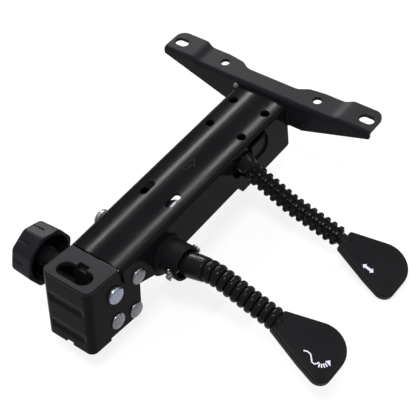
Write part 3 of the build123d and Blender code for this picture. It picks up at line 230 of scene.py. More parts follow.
# Light grey on the weld tack: a painted highlight that stands in for the shine its glossy coat catches
WELD_TACK_HIGHLIGHT = Finish(Slot.PAINT, "weld_tack_painted_highlight", "#5a595c", "#2c2b2d", 0.3, 0.08, 0.8, 0.03, 2.0, 0.4)
# Zinc plate on cold-formed heads, with the mottle of the forming tool
ZINC = Finish(Slot.ZINC, "zinc_plated_heads", "#8e9094", "#4c4d50", 0.34, 0.1, 1.6, 0.14, 2.0, metallic=1.0)
# Blue passivated zinc of the bolt's head
BLUE_ZINC = Finish(Slot.ZINC, "blue_zinc_bolt", "#a3aab9", "#636a7a", 0.3, 0.08, 1.6, 0.09, 2.6, metallic=1.0)
# Glass-filled nylon, moulded against a spark-eroded tool
MOULDING = Finish(Slot.MOULDING, "moulded_nylon", "#111012", "#171618", 0.42, 0.04, 0.7, 0.012, 20.0, 0.05)
# The same nylon on the knob, whose tool is smoother
KNOB_SKIN = Finish(Slot.MOULDING, "moulded_knob", "#151417", "#1b1a1e", 0.36, 0.04, 0.8, 0.012, 18.0, 0.045)
# Soft black rubber, slightly greasy
RUBBER = Finish(Slot.RUBBER, "sleeve_rubber_black", "#0e0e0e", "#131212", 0.22, 0.04, 1.1, 0.002, 20.0, 0.055)
# Small parts: bare and phosphated steel, brass, pressed fibre and the paddles' printing ink
STEEL = Finish(Slot.STEEL, "blank_steel", "#6d6e70", "#55524e", 0.42, 0.08, 0.8, 0.02, 12.0, metallic=1.0)
LEVER_STEEL = Finish(Slot.LEVER, "phosphated_rod", "#3a3a3b", "#2b2a2a", 0.45, 0.06, 0.7, 0.02, 10.0, metallic=1.0)
BRASS = Finish(Slot.BRASS, "turned_brass", "#c4a15a", "#ad8a48", 0.3, 0.05, 0.6, 0.01, 6.0, metallic=1.0)
FRICTION = Finish(Slot.FRICTION, "friction_fibre", "#57493c", "#3e352d", 0.8, 0.08, 0.9, 0.08, 5.0, 0.2)
INK = Finish(Slot.MOULDING, "white_pad_print", "#c9c8d4", "#b4b3c2", 0.5, 0.05, 0.6, 0.005, 4.0, 0.3)


# --- modelling


def ready(obj: Solid | None = None) -> None:
    """Leaves edit mode and selects one object only, or none.

    Args:
        obj: the object.
    """
    if bpy.context.object and bpy.context.object.mode != "OBJECT":
        bpy.ops.object.mode_set(mode="OBJECT")
    for other in bpy.context.view_layer.objects.selected:
        other.select_set(False)
    bpy.context.view_layer.objects.active = obj
    if obj:
        obj.select_set(True)


def add(name: str, data: Any) -> Solid:
    """Adds an object to the scene.

    Args:
        name: its name.
        data: its data.

    Returns:
        The object.
    """
    obj = bpy.data.objects.new(name, data)
    bpy.context.scene.collection.objects.link(obj)
    return obj


def edit(obj: Solid) -> None:
    """Opens an object in edit mode with all vertices selected.

    Args:
        obj: the object.
    """
    ready(obj)
    bpy.ops.object.mode_set(mode="EDIT")
    ops.select_mode(type="VERT")
    ops.select_all(action="SELECT")


def pick(obj: Solid, test: Callable[[Vector], bool]) -> None:
    """Selects faces by their place, in edit mode.

    Args:
        obj: the object in edit mode.
        test: says by a face's middle, in millimetres, whether to select it.
    """
    ops.select_all(action="DESELECT")
    ops.select_mode(type="FACE")
    mesh = bmesh.from_edit_mesh(obj.data)
    for face in mesh.faces:
        if test(face.calc_center_median() / MM):
            face.select = True
    mesh.select_flush_mode()
    bmesh.update_edit_mesh(obj.data)


def draw(name: str, points: Sequence[Spot], filled: bool = True) -> Solid:
    """Draws an outline by extruding a vertex from point to point.

    Args:
        name: its name.
        points: the outline's corners, in millimetres.
        filled: whether it is closed into a face.

    Returns:
        The object, in edit mode with all selected.
    """
    ready()
    spots = [Vector(p) * MM for p in points]
    ops.primitive_plane_add(size=MM, location=spots[0])
    obj = bpy.context.object
    obj.name = obj.data.name = name
    bpy.ops.object.transform_apply()
    edit(obj)
    ops.merge(type="CENTER")
    for here, there in zip(spots, spots[1:]):
        ops.extrude_vertices_move(TRANSFORM_OT_translate={"value": there - here})
    if filled:
        ops.select_all(action="SELECT")
        ops.edge_face_add()
    ops.select_all(action="SELECT")
    return obj


def push(step: Spot, scale: Spot | None = None, about: Spot = (0, 0, 0)) -> None:
    """Extrudes what is selected and may resize the new end.

    Args:
        step: how far to extrude, in millimetres.
        scale: size of the new end against the old one.
        about: centre of the resizing, in millimetres.
    """
    ops.extrude_region_move(TRANSFORM_OT_translate={"value": Vector(step) * MM})
    if scale:
        bpy.ops.transform.resize(value=scale, center_override=Vector(about) * MM)


def close_up(obj: Solid) -> Solid:
    """Merges doubles, turns the faces outwards and leaves edit mode.

    Args:
        obj: the object.

    Returns:
        The object.
    """
    ops.select_all(action="SELECT")
    ops.remove_doubles(threshold=MERGE)
    ops.normals_make_consistent()
    ready(obj)
    return obj


def prism(name: str, points: Sequence[Point], axis: str, start: float, length: float, rows: int = 1) -> Solid:
    """Extrudes a flat outline into a closed solid.

    Args:
        name: its name.
        points: the outline, in millimetres.
        axis: the axis along which it is extruded.
        start: where on that axis it starts.
        length: how far it is extruded.
        rows: number of rows of faces on the way.

    Returns:
        The object.
    """
    obj = draw(name, laid(points, axis, start))
    for _ in range(rows):
        push(laid([(0, 0)], axis, length / rows)[0])
    return close_up(obj)


def lathe(
    name: str, profile: Sequence[Point], origin: Spot = (0, 0, 0), axis: Spot = (1, 0, 0), steps: int = 48
) -> Solid:
    """Spins a profile about an axis into a solid of revolution.

    Args:
        name: its name.
        profile: distances along the axis and radii, in millimetres, with the first again at a loop's end.
        origin: point on the axis where the distances start.
        axis: direction of the axis.
        steps: number of faces round it.

    Returns:
        The object.
    """
    along = Vector(axis).normalized()
    side = along.orthogonal().normalized()
    obj = draw(name, [tuple(Vector(origin) + along * a + side * r) for a, r in profile], filled=False)
    ops.spin(steps=steps, angle=2 * pi, center=Vector(origin) * MM, axis=along, use_auto_merge=True)
    return close_up(obj)


def apply(obj: Solid, kind: str, **settings: Any) -> None:
    """Adds a modifier and applies it.

    Args:
        obj: the object.
        kind: the modifier's type.
        settings: values of its properties.
    """
    ready(obj)
    modifier = obj.modifiers.new(kind.lower(), kind)
    for key, value in settings.items():
        setattr(modifier, key, value)
    bpy.ops.object.modifier_apply(modifier=modifier.name)


def cut(obj: Solid, *tools: Solid, keep: bool = False) -> None:
    """Cuts tools out of an object.

    Args:
        obj: the object.
        tools: the cutters, removed afterwards.
        keep: whether to keep only what is inside them.
    """
    for tool in tools:
        apply(obj, "BOOLEAN", object=tool, operation="INTERSECT" if keep else "DIFFERENCE", solver="EXACT")
        bpy.data.objects.remove(tool, do_unlink=True)


def soften(obj: Solid, width: float, segments: int = 2, angle: float = 35.0) -> None:
    """Rounds a solid's edges that are sharper than an angle in degrees."""
    settings = {"segments": segments, "limit_method": "ANGLE", "angle_limit": radians(angle)}
    apply(obj, "BEVEL", width=width * MM, miter_outer="MITER_ARC", **settings)


def smooth(obj: Solid, angle: float = 32.0) -> Solid:
    """Shades an object smooth, with its flat faces flat.

    Args:
        obj: the object.
        angle: edges sharper than this many degrees stay sharp.

    Returns:
        The object.
    """
    ready(obj)
    bpy.ops.object.shade_smooth_by_angle(angle=radians(angle))
    apply(obj, "WEIGHTED_NORMAL", keep_sharp=True, weight=80)
    return obj


def place(obj: Solid, matrix: Matrix) -> Solid:
    """Moves an object's mesh, so that the object itself stays at the origin.

    Args:
        obj: the object.
        matrix: the move.

    Returns:
        The object.
    """
    ready(obj)
    obj.matrix_world = matrix
    bpy.ops.object.transform_apply()
    return obj


def bore(points: Sequence[Point], top: float, depth: float, flare: float = 0.5) -> Solid:
    """Makes the cutter of a hole in a level sheet, with a broken rim.

    Args:
        points: the hole's outline.
        top: height of the sheet's top.
        depth: how far the cutter goes below it.
        flare: width of the broken rim.

    Returns:
        The cutter.
    """
    tool = draw("bore_cut", laid(points, "Z", top - depth))
    low, high = (Vector((end(p[0] for p in points), end(p[1] for p in points))) for end in (min, max))
    push((0, 0, depth - flare))
    wider = (*(1 + 4 * flare / side for side in high - low), 1)
    push((0, 0, 2 * flare), wider, (*((low + high) / 2), top + flare))
    return close_up(tool)


def join(name: str, parts: Sequence[Solid]) -> Solid:
    """Joins several objects into one.

    Args:
        name: its name.
        parts: the objects.

    Returns:
        The first, which now holds all.
    """
    ready(parts[0])
    for part in parts[1:]:
        part.select_set(True)
    bpy.ops.object.join()
    parts[0].name = parts[0].data.name = name
    return parts[0]


# --- outlines and profiles


def arc(centre: Point, radius: float, start: float, end: float, steps: int) -> list[Point]:
    """Points along an arc between two angles in degrees, both ends included."""
    turns = [radians(start + (end - start) * i / steps) for i in range(steps + 1)]
    return [(centre[0] + radius * cos(t), centre[1] + radius * sin(t)) for t in turns]


def rounded(corners: Sequence[Spot], steps: int = 6) -> list[Point]:
    """Rounds the corners of a closed outline.

    Args:
        corners: x, y and radius of each corner, with 0 for a sharp one.
        steps: number of chords on each round corner.

    Returns:
        The outline's points.
    """
    points: list[Point] = []
    for i, (x, y, radius) in enumerate(corners):
        corner = Vector((x, y))
        if radius <= 0:
            points.append((x, y))
            continue
        back = (Vector(corners[i - 1][:2]) - corner).normalized()
        ahead = (Vector(corners[(i + 1) % len(corners)][:2]) - corner).normalized()
        half = acos(max(-1.0, min(1.0, back.dot(ahead)))) / 2
        centre = corner + (back + ahead).normalized() * (radius / sin(half))
        first, last = (corner + way * (radius / tan(half)) - centre for way in (back, ahead))
        start = atan2(first.y, first.x)
        sweep = (atan2(last.y, last.x) - start + pi) % (2 * pi) - pi
        points += arc(tuple(centre), radius, degrees(start), degrees(start + sweep), steps)
    return points


def hull(circles: Sequence[Spot], steps: int = 60) -> list[Point]:
    """Outline drawn tight round circles, each given by x, y and radius."""
    points = sorted({p for x, y, r in circles for p in arc((x, y), r, 0, 360, steps)[:-1]})
    return [points[i] for i in convex_hull_2d(points)]


def slot(x: float, y: float, half_x: float, half_y: float, steps: int = 24) -> list[Point]:
    """Outline of a round hole or of a slot with round ends, by its middle and half its sizes."""
    radius = min(half_x, half_y)
    return hull([(x + i * (half_x - radius), y + i * (half_y - radius), radius) for i in (-1, 1)], steps)


def channel(
    half: float, foot: float, radius: float, sheet: float, end: float, facets: int, back: Callable[[float], float]
) -> list[Point]:
    """Draws the section of a sheet that is bent into a channel.

    Args:
        half: half its outer width.
        foot: where its legs end.
        radius: outer radius of its corners.
        sheet: its thickness.
        end: degrees that a corner turns, negative for a back below the legs.
        facets: number of chords across the back.
        back: outer face of the back by the place across.

    Returns:
        The closed outline.
    """
    faces: list[list[Point]] = []
    for inset in (0.0, sheet):
        out = 1 if end > 0 else -1
        wide, bend = half - inset, radius - inset
        corner = arc((wide - bend, back(wide - bend) - out * (inset + bend)), bend, 0, end, 7)
        right, reach = [(wide, foot), *corner], corner[-1][0]
        across = [reach - 2 * reach * i / facets for i in range(1, facets)]
        faces.append([*right, *[(x, back(x) - out * inset) for x in across], *[(-x, y) for x, y in right[::-1]]])
    return faces[0] + faces[1][::-1]


def stroke(points: Sequence[Point], width: float) -> list[Point]:
    """Outline of a line of even width.

    Args:
        points: the line's points.
        width: its width.

    Returns:
        The outline's points.
    """
    sides: tuple[list[Point], list[Point]] = ([], [])
    for i, (x, y) in enumerate(points):
        before, after = points[max(i - 1, 0)], points[min(i + 1, len(points) - 1)]
        run = Vector((after[0] - before[0], after[1] - before[1])).normalized() * width / 2
        sides[0].append((x - run.y, y + run.x))
        sides[1].append((x + run.y, y - run.x))
    return sides[0] + sides[1][::-1]


def laid(points: Sequence[Point], axis: str, at: float) -> list[Spot]:
    """Lays flat points on the plane that stands across an axis, "X", "Y" or "Z", at a place on it."""
    i = "XYZ".index(axis)
    return [(*p[:i], at, *p[i:]) for p in points]


def ease(value: float) -> float:
    """S-shaped step from 0 to 1."""
    share = max(0.0, min(1.0, value))
    return share * share * (3 - 2 * share)


def dome(face: float, radius: float, rise: float) -> list[Point]:
    """Profile of a domed head on a face, whose place is negative for a head on the left."""
    side = 1 if face > 0 else -1
    return [(face + side * rise * up, radius * out) for up, out in DOME]


def rivet(half: float) -> list[Point]:
    """Profile of a pin with a domed head at both ends, whose grip is twice half long."""
    left, right = (dome(face, HEAD_RADIUS, HEAD_RISE) for face in (-half, half))
    return [*left[::-1], (-half, SHANK), (half, SHANK), *right]


# --- sub-assemblies


@dataclass
class Assembly:
    """A group of pieces, the body that the next one rides on and those made so far."""

    frame: dict[str, Any]
    body: Body = Body.BEAM
    made: list[Solid] = field(default_factory=list)

    def hand_over(self, obj: Solid, finish: Finish, *nodes: str) -> None:
        """Gives a piece its finish's material and its body, and hides the nodes that it replaces.

        Args:
            obj: the piece.
            finish: its finish.
            nodes: the CAD nodes that it replaces.
        """
        slot, body = finish.slot, self.body
        obj.data.materials.clear()
        obj.data.materials.append(finish.material())
        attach(obj, body.value)
        if nodes:
            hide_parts(*nodes)
        self.made.append(obj)

    def refine(self, finish: Finish, edge: float, *nodes: str) -> None:
        """Dresses CAD nodes: a merged copy with broken edges takes each one's place.

        Args:
            finish: their finish.
            edge: width of their broken edges, 0 for none.
            nodes: the nodes.
        """
        for node in nodes:
            copy = add(f"{node}_dressed", self.frame["nodes"][node].data.copy())
            edit(copy)
            ops.remove_doubles(threshold=MERGE)
            ops.select_all(action="SELECT")
            ops.dissolve_limited(angle_limit=radians(0.5))
            if edge:
                soften(copy, edge)
            self.hand_over(smooth(copy), finish, node)


@dataclass
class SeatBeam(Assembly):
    """The channel beam with its crowned top, its holes and the window for the lift lever."""

    half: float = 27.0
    sheet: float = 2.0
    crown_z: float = 58.0
    sag: float = 1.4
    corner: float = 3.0
    front_y: float = 42.0
    rear_y: float = -181.0
    front_low: float = 10.2
    rear_low: float = 19.5
    step_y: Point = (-28.0, -34.0)
    clear_z: float = 70.0
    clamp: Point = (-131.0, 29.0)
    lobe: float = 20.5
    pivot: Point = (-166.349, 36.473)
    heel: float = 9.4
    heel_top: float = 41.0
    facets: int = 44
    rows: int = 54
    hole: float = 3.8
    hole_x: float = 17.1
    hole_y: Point = (-11.05, 23.45)
    oblong: Point = (3.25, 8.0)
    oblong_x: float = 13.8
    oblong_y: float = -101.1
    window: Spots = (
        (-38.0, 30.0, 9.0), (12.5, 30.0, 9.0), (12.5, 44.5, 5.0), (8.0, 55.4, 4.0), (-38.0, 55.4, 1.5),
    )
    notch: Point = (-19.0, 33.5)
    notch_radius: float = 9.1
    ripples: int = 12
    ripple_pitch: float = 1.65
    ripple: Points = ((0.1, 2.3), (0.45, 2.75), (0.8, 2.6))
    bead_low: float = 35.6
    tack: Points = (
        (0.0, 0.0), (0.3, 1.6), (1.0, 2.3), (1.8, 1.9), (2.3, 2.4), (3.2, 2.1), (3.8, 1.2), (4.0, 0.0),
    )

    def crown(self, x: float) -> float:
        """Height of the crowned top at x."""
        return self.crown_z - self.sag * (x / self.half) ** 2

    def side(self) -> list[Point]:
        """The beam's outline from the side, with the lobe round the clamp rod.

        Returns:
            The closed outline along the beam.
        """
        reach = (self.lobe**2 - (self.clamp[1] - self.rear_low) ** 2) ** 0.5
        swing = degrees(atan2(self.rear_low - self.clamp[1], reach))
        lobe = arc(self.clamp, self.lobe, swing, -180 - swing, 20)
        nose = rounded(
            [
                (self.rear_y, self.clear_z, 0), (self.front_y, self.clear_z, 0), (self.front_y, self.front_low, 2.5),
                (self.step_y[0], self.front_low, 3.0), (self.step_y[1], self.rear_low, 3.0), (*lobe[0], 0),
            ]
        )
        heel = arc(self.pivot, self.heel, -95, -143, 8)
        return [*nose, *lobe[1:], *heel, (self.rear_y, self.heel_top)]

    def pressing(self) -> None:
        """Models the pressed channel."""
        low = self.front_low - 1
        section = channel(self.half, low, self.corner, self.sheet, 86, self.facets, self.crown)
        beam = prism("beam_pressing", section, "Y", self.front_y, self.rear_y - self.front_y, self.rows)
        cut(beam, prism("side_cut", self.side(), "X", -40.0, 80.0), keep=True)
        holes = [(x, y, self.hole, self.hole) for x in (-self.hole_x, self.hole_x) for y in self.hole_y]
        holes += [(x, self.oblong_y, *self.oblong) for x in (-self.oblong_x, self.oblong_x)]
        tools = [bore(slot(*hole), self.crown(hole[0]), 8.0) for hole in holes]
        ends = [(self.notch[0] + side * self.notch_radius, 40.0) for side in (1, -1)]
        notch = [*arc(self.notch, self.notch_radius, 180, 360, 16), *ends]
        for outline in (rounded(self.window), notch):
            tools.append(prism("window_cut", outline, "X", self.half - 4.0, 10.0))
        cut(beam, *tools)
        self.hand_over(smooth(beam, 30.0), PAINT, "beam_channel")

    def arrow(self) -> None:
        """Models the embossed outline of an arrow, with its foot in the crown."""
        outer, inner = (
            [(-stem, foot), (stem, foot), (stem, head), (wide, head), (0, tip), (-wide, head), (-stem, head)]
            for stem, wide, foot, head, tip in ((2.4, 5.8, -69.0, -61.8, -54.0), (1.5, 4.0, -68.1, -60.9, -55.5))
        )
        outline = prism("arrow_outline", outer, "Z", self.crown_z - 0.5, 1.1)
        cut(outline, prism("arrow_inner", inner, "Z", self.crown_z - 1.0, 3.0))
        soften(outline, 0.38, 3, 50.0)
        # The outline takes the lighter satin coat, not the beam's paint: a painted highlight for the light that its
        # ridge catches
        self.hand_over(smooth(outline), SATIN)

    def welds(self) -> None:
        """Models the beads between the walls and the crossbar, and a tack at one corner."""
        ripples = [(self.ripple_pitch * (i + share), r) for i in range(self.ripples) for share, r in self.ripple]
        profile = [(0.0, 0.0), *ripples, (self.ripple_pitch * self.ripples, 0.0)]
        beads = [
            lathe(f"bead_{side}", profile, (side * (self.half + 0.3), self.front_y - 0.3, self.bead_low), (0, 0, 1), 16)
            for side in (-1, 1)
        ]
        tack = lathe("weld_tack", self.tack, (-self.half + 0.2, self.front_y - 0.9, 55.2), (-0.3, -0.1, 1), 16)
        # The tack's light grey finish is a painted highlight
        self.hand_over(smooth(tack, 60.0), WELD_TACK_HIGHLIGHT)
        self.hand_over(smooth(join("weld_ripples", beads), 60.0), PAINT, "weld_beads")

    def build(self) -> None:
        """Builds the beam's pieces."""
        self.pressing()
        self.arrow()
        self.welds()
        self.refine(PAINT, 0.3, "anchor_plate")
        self.refine(ZINC, 0.5, "stop_stud")
        pin = lathe("pivot_pin_heads", rivet(self.half), (0, *self.pivot))
        self.hand_over(smooth(pin), ZINC, "pivot_pin")


@dataclass
class FrontCrossbar(Assembly):
    """The crossbar welded over the beam's front end, which carries the seat."""

    top: float = 63.2
    sheet: float = 3.0
    back: float = 42.0
    tip: float = 69.5
    low: float = 34.5
    bend: float = 4.0
    half: float = 110.5
    joggle: Point = (68.5, 81.5)
    rise: float = 2.4
    hole_y: float = 56.0
    foot: float = 42.0
    wing_z: float = 59.0

    def lift(self, x: float) -> float:
        """How far the raised ends stand over the middle at x, with an S-shaped step between."""
        return self.rise * ease((abs(x) - self.joggle[0]) / (self.joggle[1] - self.joggle[0]))

    def blank(self) -> Solid:
        """Bends the angle section along the chair's width, redrawn more often in the steps.

        Returns:
            The uncut bar.
        """
        r, low, inner = self.bend, self.low - 5.0, self.back + self.sheet
        first, last = self.joggle
        side = [first + (last - first) * i / 10 for i in range(1, 11)]
        side += [last + (self.half + 1.0 - last) * i / 8 for i in range(1, 9)]
        stations = [-x for x in side[::-1]] + [first * i / 18 for i in range(-18, 19)] + side
        rise = self.lift(stations[0])
        section = [
            (self.back, low),
            *arc((self.back + r, self.top - r), r, 180, 90, 7),
            (self.tip + 1, self.top),
            (self.tip + 1, self.top - self.sheet),
            *arc((inner + r - self.sheet, self.top - r), r - self.sheet, 90, 180, 3),
            (inner, low),
        ]
        bar = draw("crossbar_pressing", laid([(y, z + rise) for y, z in section], "X", stations[0]))
        for here, there in zip(stations, stations[1:]):
            push((there - here, 0, self.lift(there) - self.lift(here)))
        return close_up(bar)

    def build(self) -> None:
        """Cuts the bent bar to its outlines, rounds its edges and drills it."""
        bar = self.blank()
        plan = [
            (0, 59.5, 0), (27.0, 59.5, 12.0), (36.0, 65.0, 10.0), (52.0, 67.0, 14.0), (73.0, 67.0, 12.0),
            (79.0, self.tip, 8.0), (self.half, self.tip, 9.0), (self.half, 40.0, 0),
        ]
        right = rounded(plan)[1:]
        outline = [(0, 59.5), *right, *[(-x, y) for x, y in reversed(right)]]
        cut(bar, prism("plan_cut", outline, "Z", 20.0, 60.0), keep=True)
        wing = self.half + 2
        front = [(self.foot, self.low), (wing, self.wing_z), (wing, 90.0)]
        front += [(-x, z) for x, z in front[::-1]]
        cut(bar, prism("front_cut", front, "Y", 30.0, 60.0), keep=True)
        soften(bar, 0.55)
        for x, half_x, half_y, top in ((50.0, 4.0, 4.0, self.top), (100.0, 7.0, 4.5, self.top + self.rise)):
            cut(bar, *[bore(slot(side, self.hole_y, half_x, half_y), top, 6.0) for side in (-x, x)])
        self.hand_over(smooth(bar, 34.0), SATIN, "front_crossbar")


@dataclass
class ColumnSocket(Assembly):
    """The taper socket with its cradle and saddle inside the beam."""

    def build(self) -> None:
        """Builds the socket's pieces."""
        self.refine(SATIN, 1.3, "socket_cradle")
        self.refine(PAINT, 0.6, "socket_saddle", "taper_socket")
        self.refine(ZINC, 0.3, "lift_hinge_pin")


@dataclass
class Lever(Assembly):
    """What both levers share: a rod, a sleeve bent along it and a fan-shaped paddle."""

    name: str = "lever"
    y: float = 0.0
    corners: Spots = ()
    fan: Point = (0.0, 0.0)
    drop: float = 18.0
    neck: float = 1.0
    thickness: float = 8.0
    edge: float = 1.9
    circles: Spots = ((38.9, 2.0, 22.3), (51.2, -13.7, 9.7), (2.5, 8.0, 2.5), (2.5, -8.0, 2.5))
    swell: Points = ((0.22, 0.91), (0.14, 0.88))
    swell_x: float = 34.0

    def sleeve(self) -> Solid:
        """Models the straight sleeve."""
        raise NotImplementedError

    def prints(self) -> list[list[Point]]:
        """Outlines of the white pictogram on the paddle."""
        raise NotImplementedError

    def bend(self, obj: Solid) -> None:
        """Bends a straight piece onto the lever's cranked path.

        Args:
            obj: the piece, along +X.
        """
        path = bpy.data.curves.new("lever_path", "CURVE")
        path.dimensions = "3D"
        path.twist_mode = "Z_UP"
        path.use_deform_bounds = False
        points = laid(rounded(self.corners, 8), "Y", self.y)
        spline = path.splines.new("POLY")
        spline.points.add(len(points) - 1)
        for point, spot in zip(spline.points, points):
            point.co = (*(Vector(spot) * MM), 1.0)
        guide = add("lever_path", path)
        apply(obj, "CURVE", object=guide, deform_axis="POS_X")
        bpy.data.objects.remove(guide, do_unlink=True)

    def paddle(self) -> None:
        """Models the paddle with its low crown and its printed pictogram."""
        half = self.thickness / 2
        blade = prism("blade", hull(self.circles), "Z", -half, self.thickness)
        apply(blade, "BEVEL", width=self.edge * MM, segments=4, limit_method="ANGLE", angle_limit=radians(60.0))
        edit(blade)
        pick(blade, lambda m: m.z > half - 0.05)
        for rise, scale in self.swell:
            push((0, 0, rise), (scale, scale, 1), (self.swell_x, 0, 0))
        profile = [(-self.neck, 0), (-self.neck, 5.2), (0.6 - self.neck, 5.6), (4.0, 5.4), (6.0, 0)]
        blade = join(f"{self.name}_paddle_moulding", [blade, lathe("neck", profile, steps=32)])
        turn = Matrix.Rotation(radians(self.drop), 4, "Y")
        stand = Matrix.Translation(Vector((self.fan[0], self.y, self.fan[1])) * MM) @ turn
        self.hand_over(place(smooth(blade, 34.0), stand), MOULDING, f"{self.name}_paddle")
        inks = [prism(f"ink_{i}", points, "Z", half + 0.3, 0.1) for i, points in enumerate(self.prints())]
        self.hand_over(place(join(f"{self.name}_pictogram", inks), stand), INK)

    def build(self) -> None:
        """Builds the lever's pieces."""
        self.refine(LEVER_STEEL, 0.0, f"{self.name}_rod")
        sleeve = self.sleeve()
        self.bend(sleeve)
        self.hand_over(smooth(sleeve, 50.0), RUBBER, f"{self.name}_sleeve")
        self.paddle()


@dataclass
class LiftLever(Lever):
    """The lift lever, with a sleeve of rubber studs."""

    name: str = "lift"
    body: Body = Body.LIFT
    y: float = -19.0
    corners: Spots = (
        (17.0, 44.0, 0), (35.91, 29.22, 26.0), (73.92, 11.34, 60.0), (121.27, -1.26, 0), (130.0, -4.35, 0),
    )
    fan: Point = (124.52, -2.41)
    drop: float = 19.5
    neck: float = 3.0
    pitch: float = 7.0
    start: float = 17.0
    rows: int = 14
    around: int = 8
    core: float = 6.7
    stud: Spot = (3.2, 2.75, 1.5)
    stud_at: float = 7.6
    stud_top: float = 9.2

    def sleeve(self) -> Solid:
        """Models the boot, the sleeve's core and its studs.

        Returns:
            The straight sleeve.
        """
        profile = [(5.0, 0), (5.0, 8.7), (5.6, 9.2), (self.start - 3.5, 9.0), (self.start - 1.2, 8.4)]
        profile += [(self.start + self.pitch * i / 2, self.core) for i in range(2 * self.rows + 1)]
        core = lathe("core", [*profile, (profile[-1][0], 0)], steps=32)
        ops.primitive_cube_add(size=2 * MM)
        stud = bpy.context.object
        edit(stud)
        bpy.ops.transform.resize(value=self.stud)
        middle = self.start + self.pitch / 2
        centre = Vector((middle, 0, self.stud_at)) * MM
        bpy.ops.transform.translate(value=centre)
        pick(stud, lambda m: m.z > self.stud_top - 0.2)
        bpy.ops.transform.resize(value=(0.44, 0.5, 1.0), center_override=centre)
        push((0, 0, 0.1), (0.6, 0.6, 0.6), (middle, 0, self.stud_top))
        soften(stud, 0.35)
        edit(stud)
        bpy.ops.transform.rotate(value=pi / self.around, orient_axis="X", center_override=(0, 0, 0))
        ops.spin(steps=self.around, angle=2 * pi, axis=(1, 0, 0), dupli=True)
        close_up(stud)
        apply(
            stud, "ARRAY", count=self.rows, use_relative_offset=False, use_constant_offset=True,
            constant_offset_displace=(self.pitch * MM, 0, 0),
        )
        return join("lift_sleeve_studs", [core, stud])

    def prints(self) -> list[list[Point]]:
        """Draws a double arrow, for up and down.

        Returns:
            Its one outline.
        """
        half, neck, head, wide = 5.6, 1.25, 2.7, 2.8
        side = [(-half, 0.0), (head - half, wide), (head - half, neck), (half - head, neck), (half - head, wide)]
        return [[(31.3 + x, -10.4 + y) for x, y in [*side, (half, 0.0), *[(x, -y) for x, y in side[:0:-1]]]]]


@dataclass
class ReclineLever(Lever):
    """The recline lever, with a sleeve of rubber rings."""

    name: str = "recline"
    body: Body = Body.RECLINE
    y: float = -131.0
    corners: Spots = ((44.0, 29.0, 0), (76.61, 37.1, 30.0), (134.64, 18.24, 0), (150.0, 13.25, 0))
    fan: Point = (135.4, 18.0)
    neck: float = 0.8
    boot: Points = (
        (4.4, 0), (4.4, 9.6), (4.8, 10.0), (8.9, 10.0), (9.6, 10.7), (10.2, 11.0), (18.0, 10.7), (24.0, 10.3),
        (25.4, 10.1), (26.3, 9.4), (26.8, 8.3),
    )
    pitch: float = 6.83
    start: float = 27.1
    rows: int = 10
    core: float = 6.9
    valley: float = 6.6
    swollen: float = 3.1
    wave: Points = (
        (31.3, -9.0), (34.0, -7.6), (37.0, -7.7), (39.2, -9.8), (41.6, -12.4), (44.0, -12.7), (45.6, -10.6),
        (45.9, -9.0),
    )

    def sleeve(self) -> Solid:
        """Models the boot and the rings as one turned form.

        Returns:
            The straight sleeve.
        """
        profile = [*self.boot, (self.start, self.core)]
        for ring in range(self.rows):
            for turn in range(1, 12):
                swing = pi * turn / 12
                along = self.pitch * (ring + 0.5 - 0.47 * cos(swing))
                profile.append((self.start + along, self.core + self.swollen * sin(swing) ** 0.75))
            profile.append((self.start + self.pitch * (ring + 1), self.valley))
        return lathe("recline_sleeve_rings", [*profile, (profile[-1][0], 0)], steps=44)

    def prints(self) -> list[list[Point]]:
        """Draws a wavy line, for the seat, and a fan with an arrow head.

        Returns:
            Their outlines.
        """
        centre = (44.0, -4.0)
        fan = [stroke([arc(centre, r, turn, turn, 1)[0] for r in (6.3, 9.6)], 1.1) for turn in (-64, -50, -36, -22)]
        head = [arc(centre, r, turn, turn, 1)[0] for r, turn in ((5.2, -10), (10.8, -10), (8.0, 16))]
        return [stroke(self.wave, 1.15), *fan, head]


@dataclass
class ReclineLock(Assembly):
    """The recline lock's outer parts on both walls and its plates inside."""

    clamp: Point = (-131.0, 29.0)
    drum: Points = (
        (27.0, 4.0), (27.0, 17.1), (27.4, 17.5), (29.1, 17.5), (29.5, 17.1), (29.7, 15.9), (30.2, 15.5),
        (47.3, 15.5), (47.8, 15.3), (48.0, 14.8), (48.0, 13.5), (47.6, 13.0), (29.5, 13.0), (29.5, 4.0),
        (27.0, 4.0),
    )
    nut_end: float = -41.8
    rod_end: Points = ((0, 0), (0, 8.4), (2.4, 8.8), (4.2, 7.6), (5.6, 4.8), (6.2, 0))

    def build(self) -> None:
        """Builds the lock's pieces."""
        cup = lathe("recline_cup_drum", self.drum, (0, *self.clamp), steps=64)
        self.hand_over(smooth(cup), MATT, "recline_cup")
        self.refine(PAINT, 0.3, "clamp_washers")
        self.refine(PAINT, 0.5, "clamp_nut")
        self.refine(ZINC, 0.25, "recline_pin", "split_pin")
        self.refine(ZINC, 0.3, "clamp_rod")
        head = lathe("clamp_rod_head", self.rod_end, (self.nut_end, *self.clamp), (-1, 0, 0), 40)
        self.hand_over(smooth(head), ZINC)
        self.refine(ZINC, 0.3, "clamp_spacer")
        self.refine(FRICTION, 0.3, "friction_ring")
        self.body = Body.BRACKET
        self.refine(STEEL, 0.3, "lock_plates")
        self.body = Body.PAD
        self.refine(STEEL, 0.3, "thrust_pad", "push_plate")


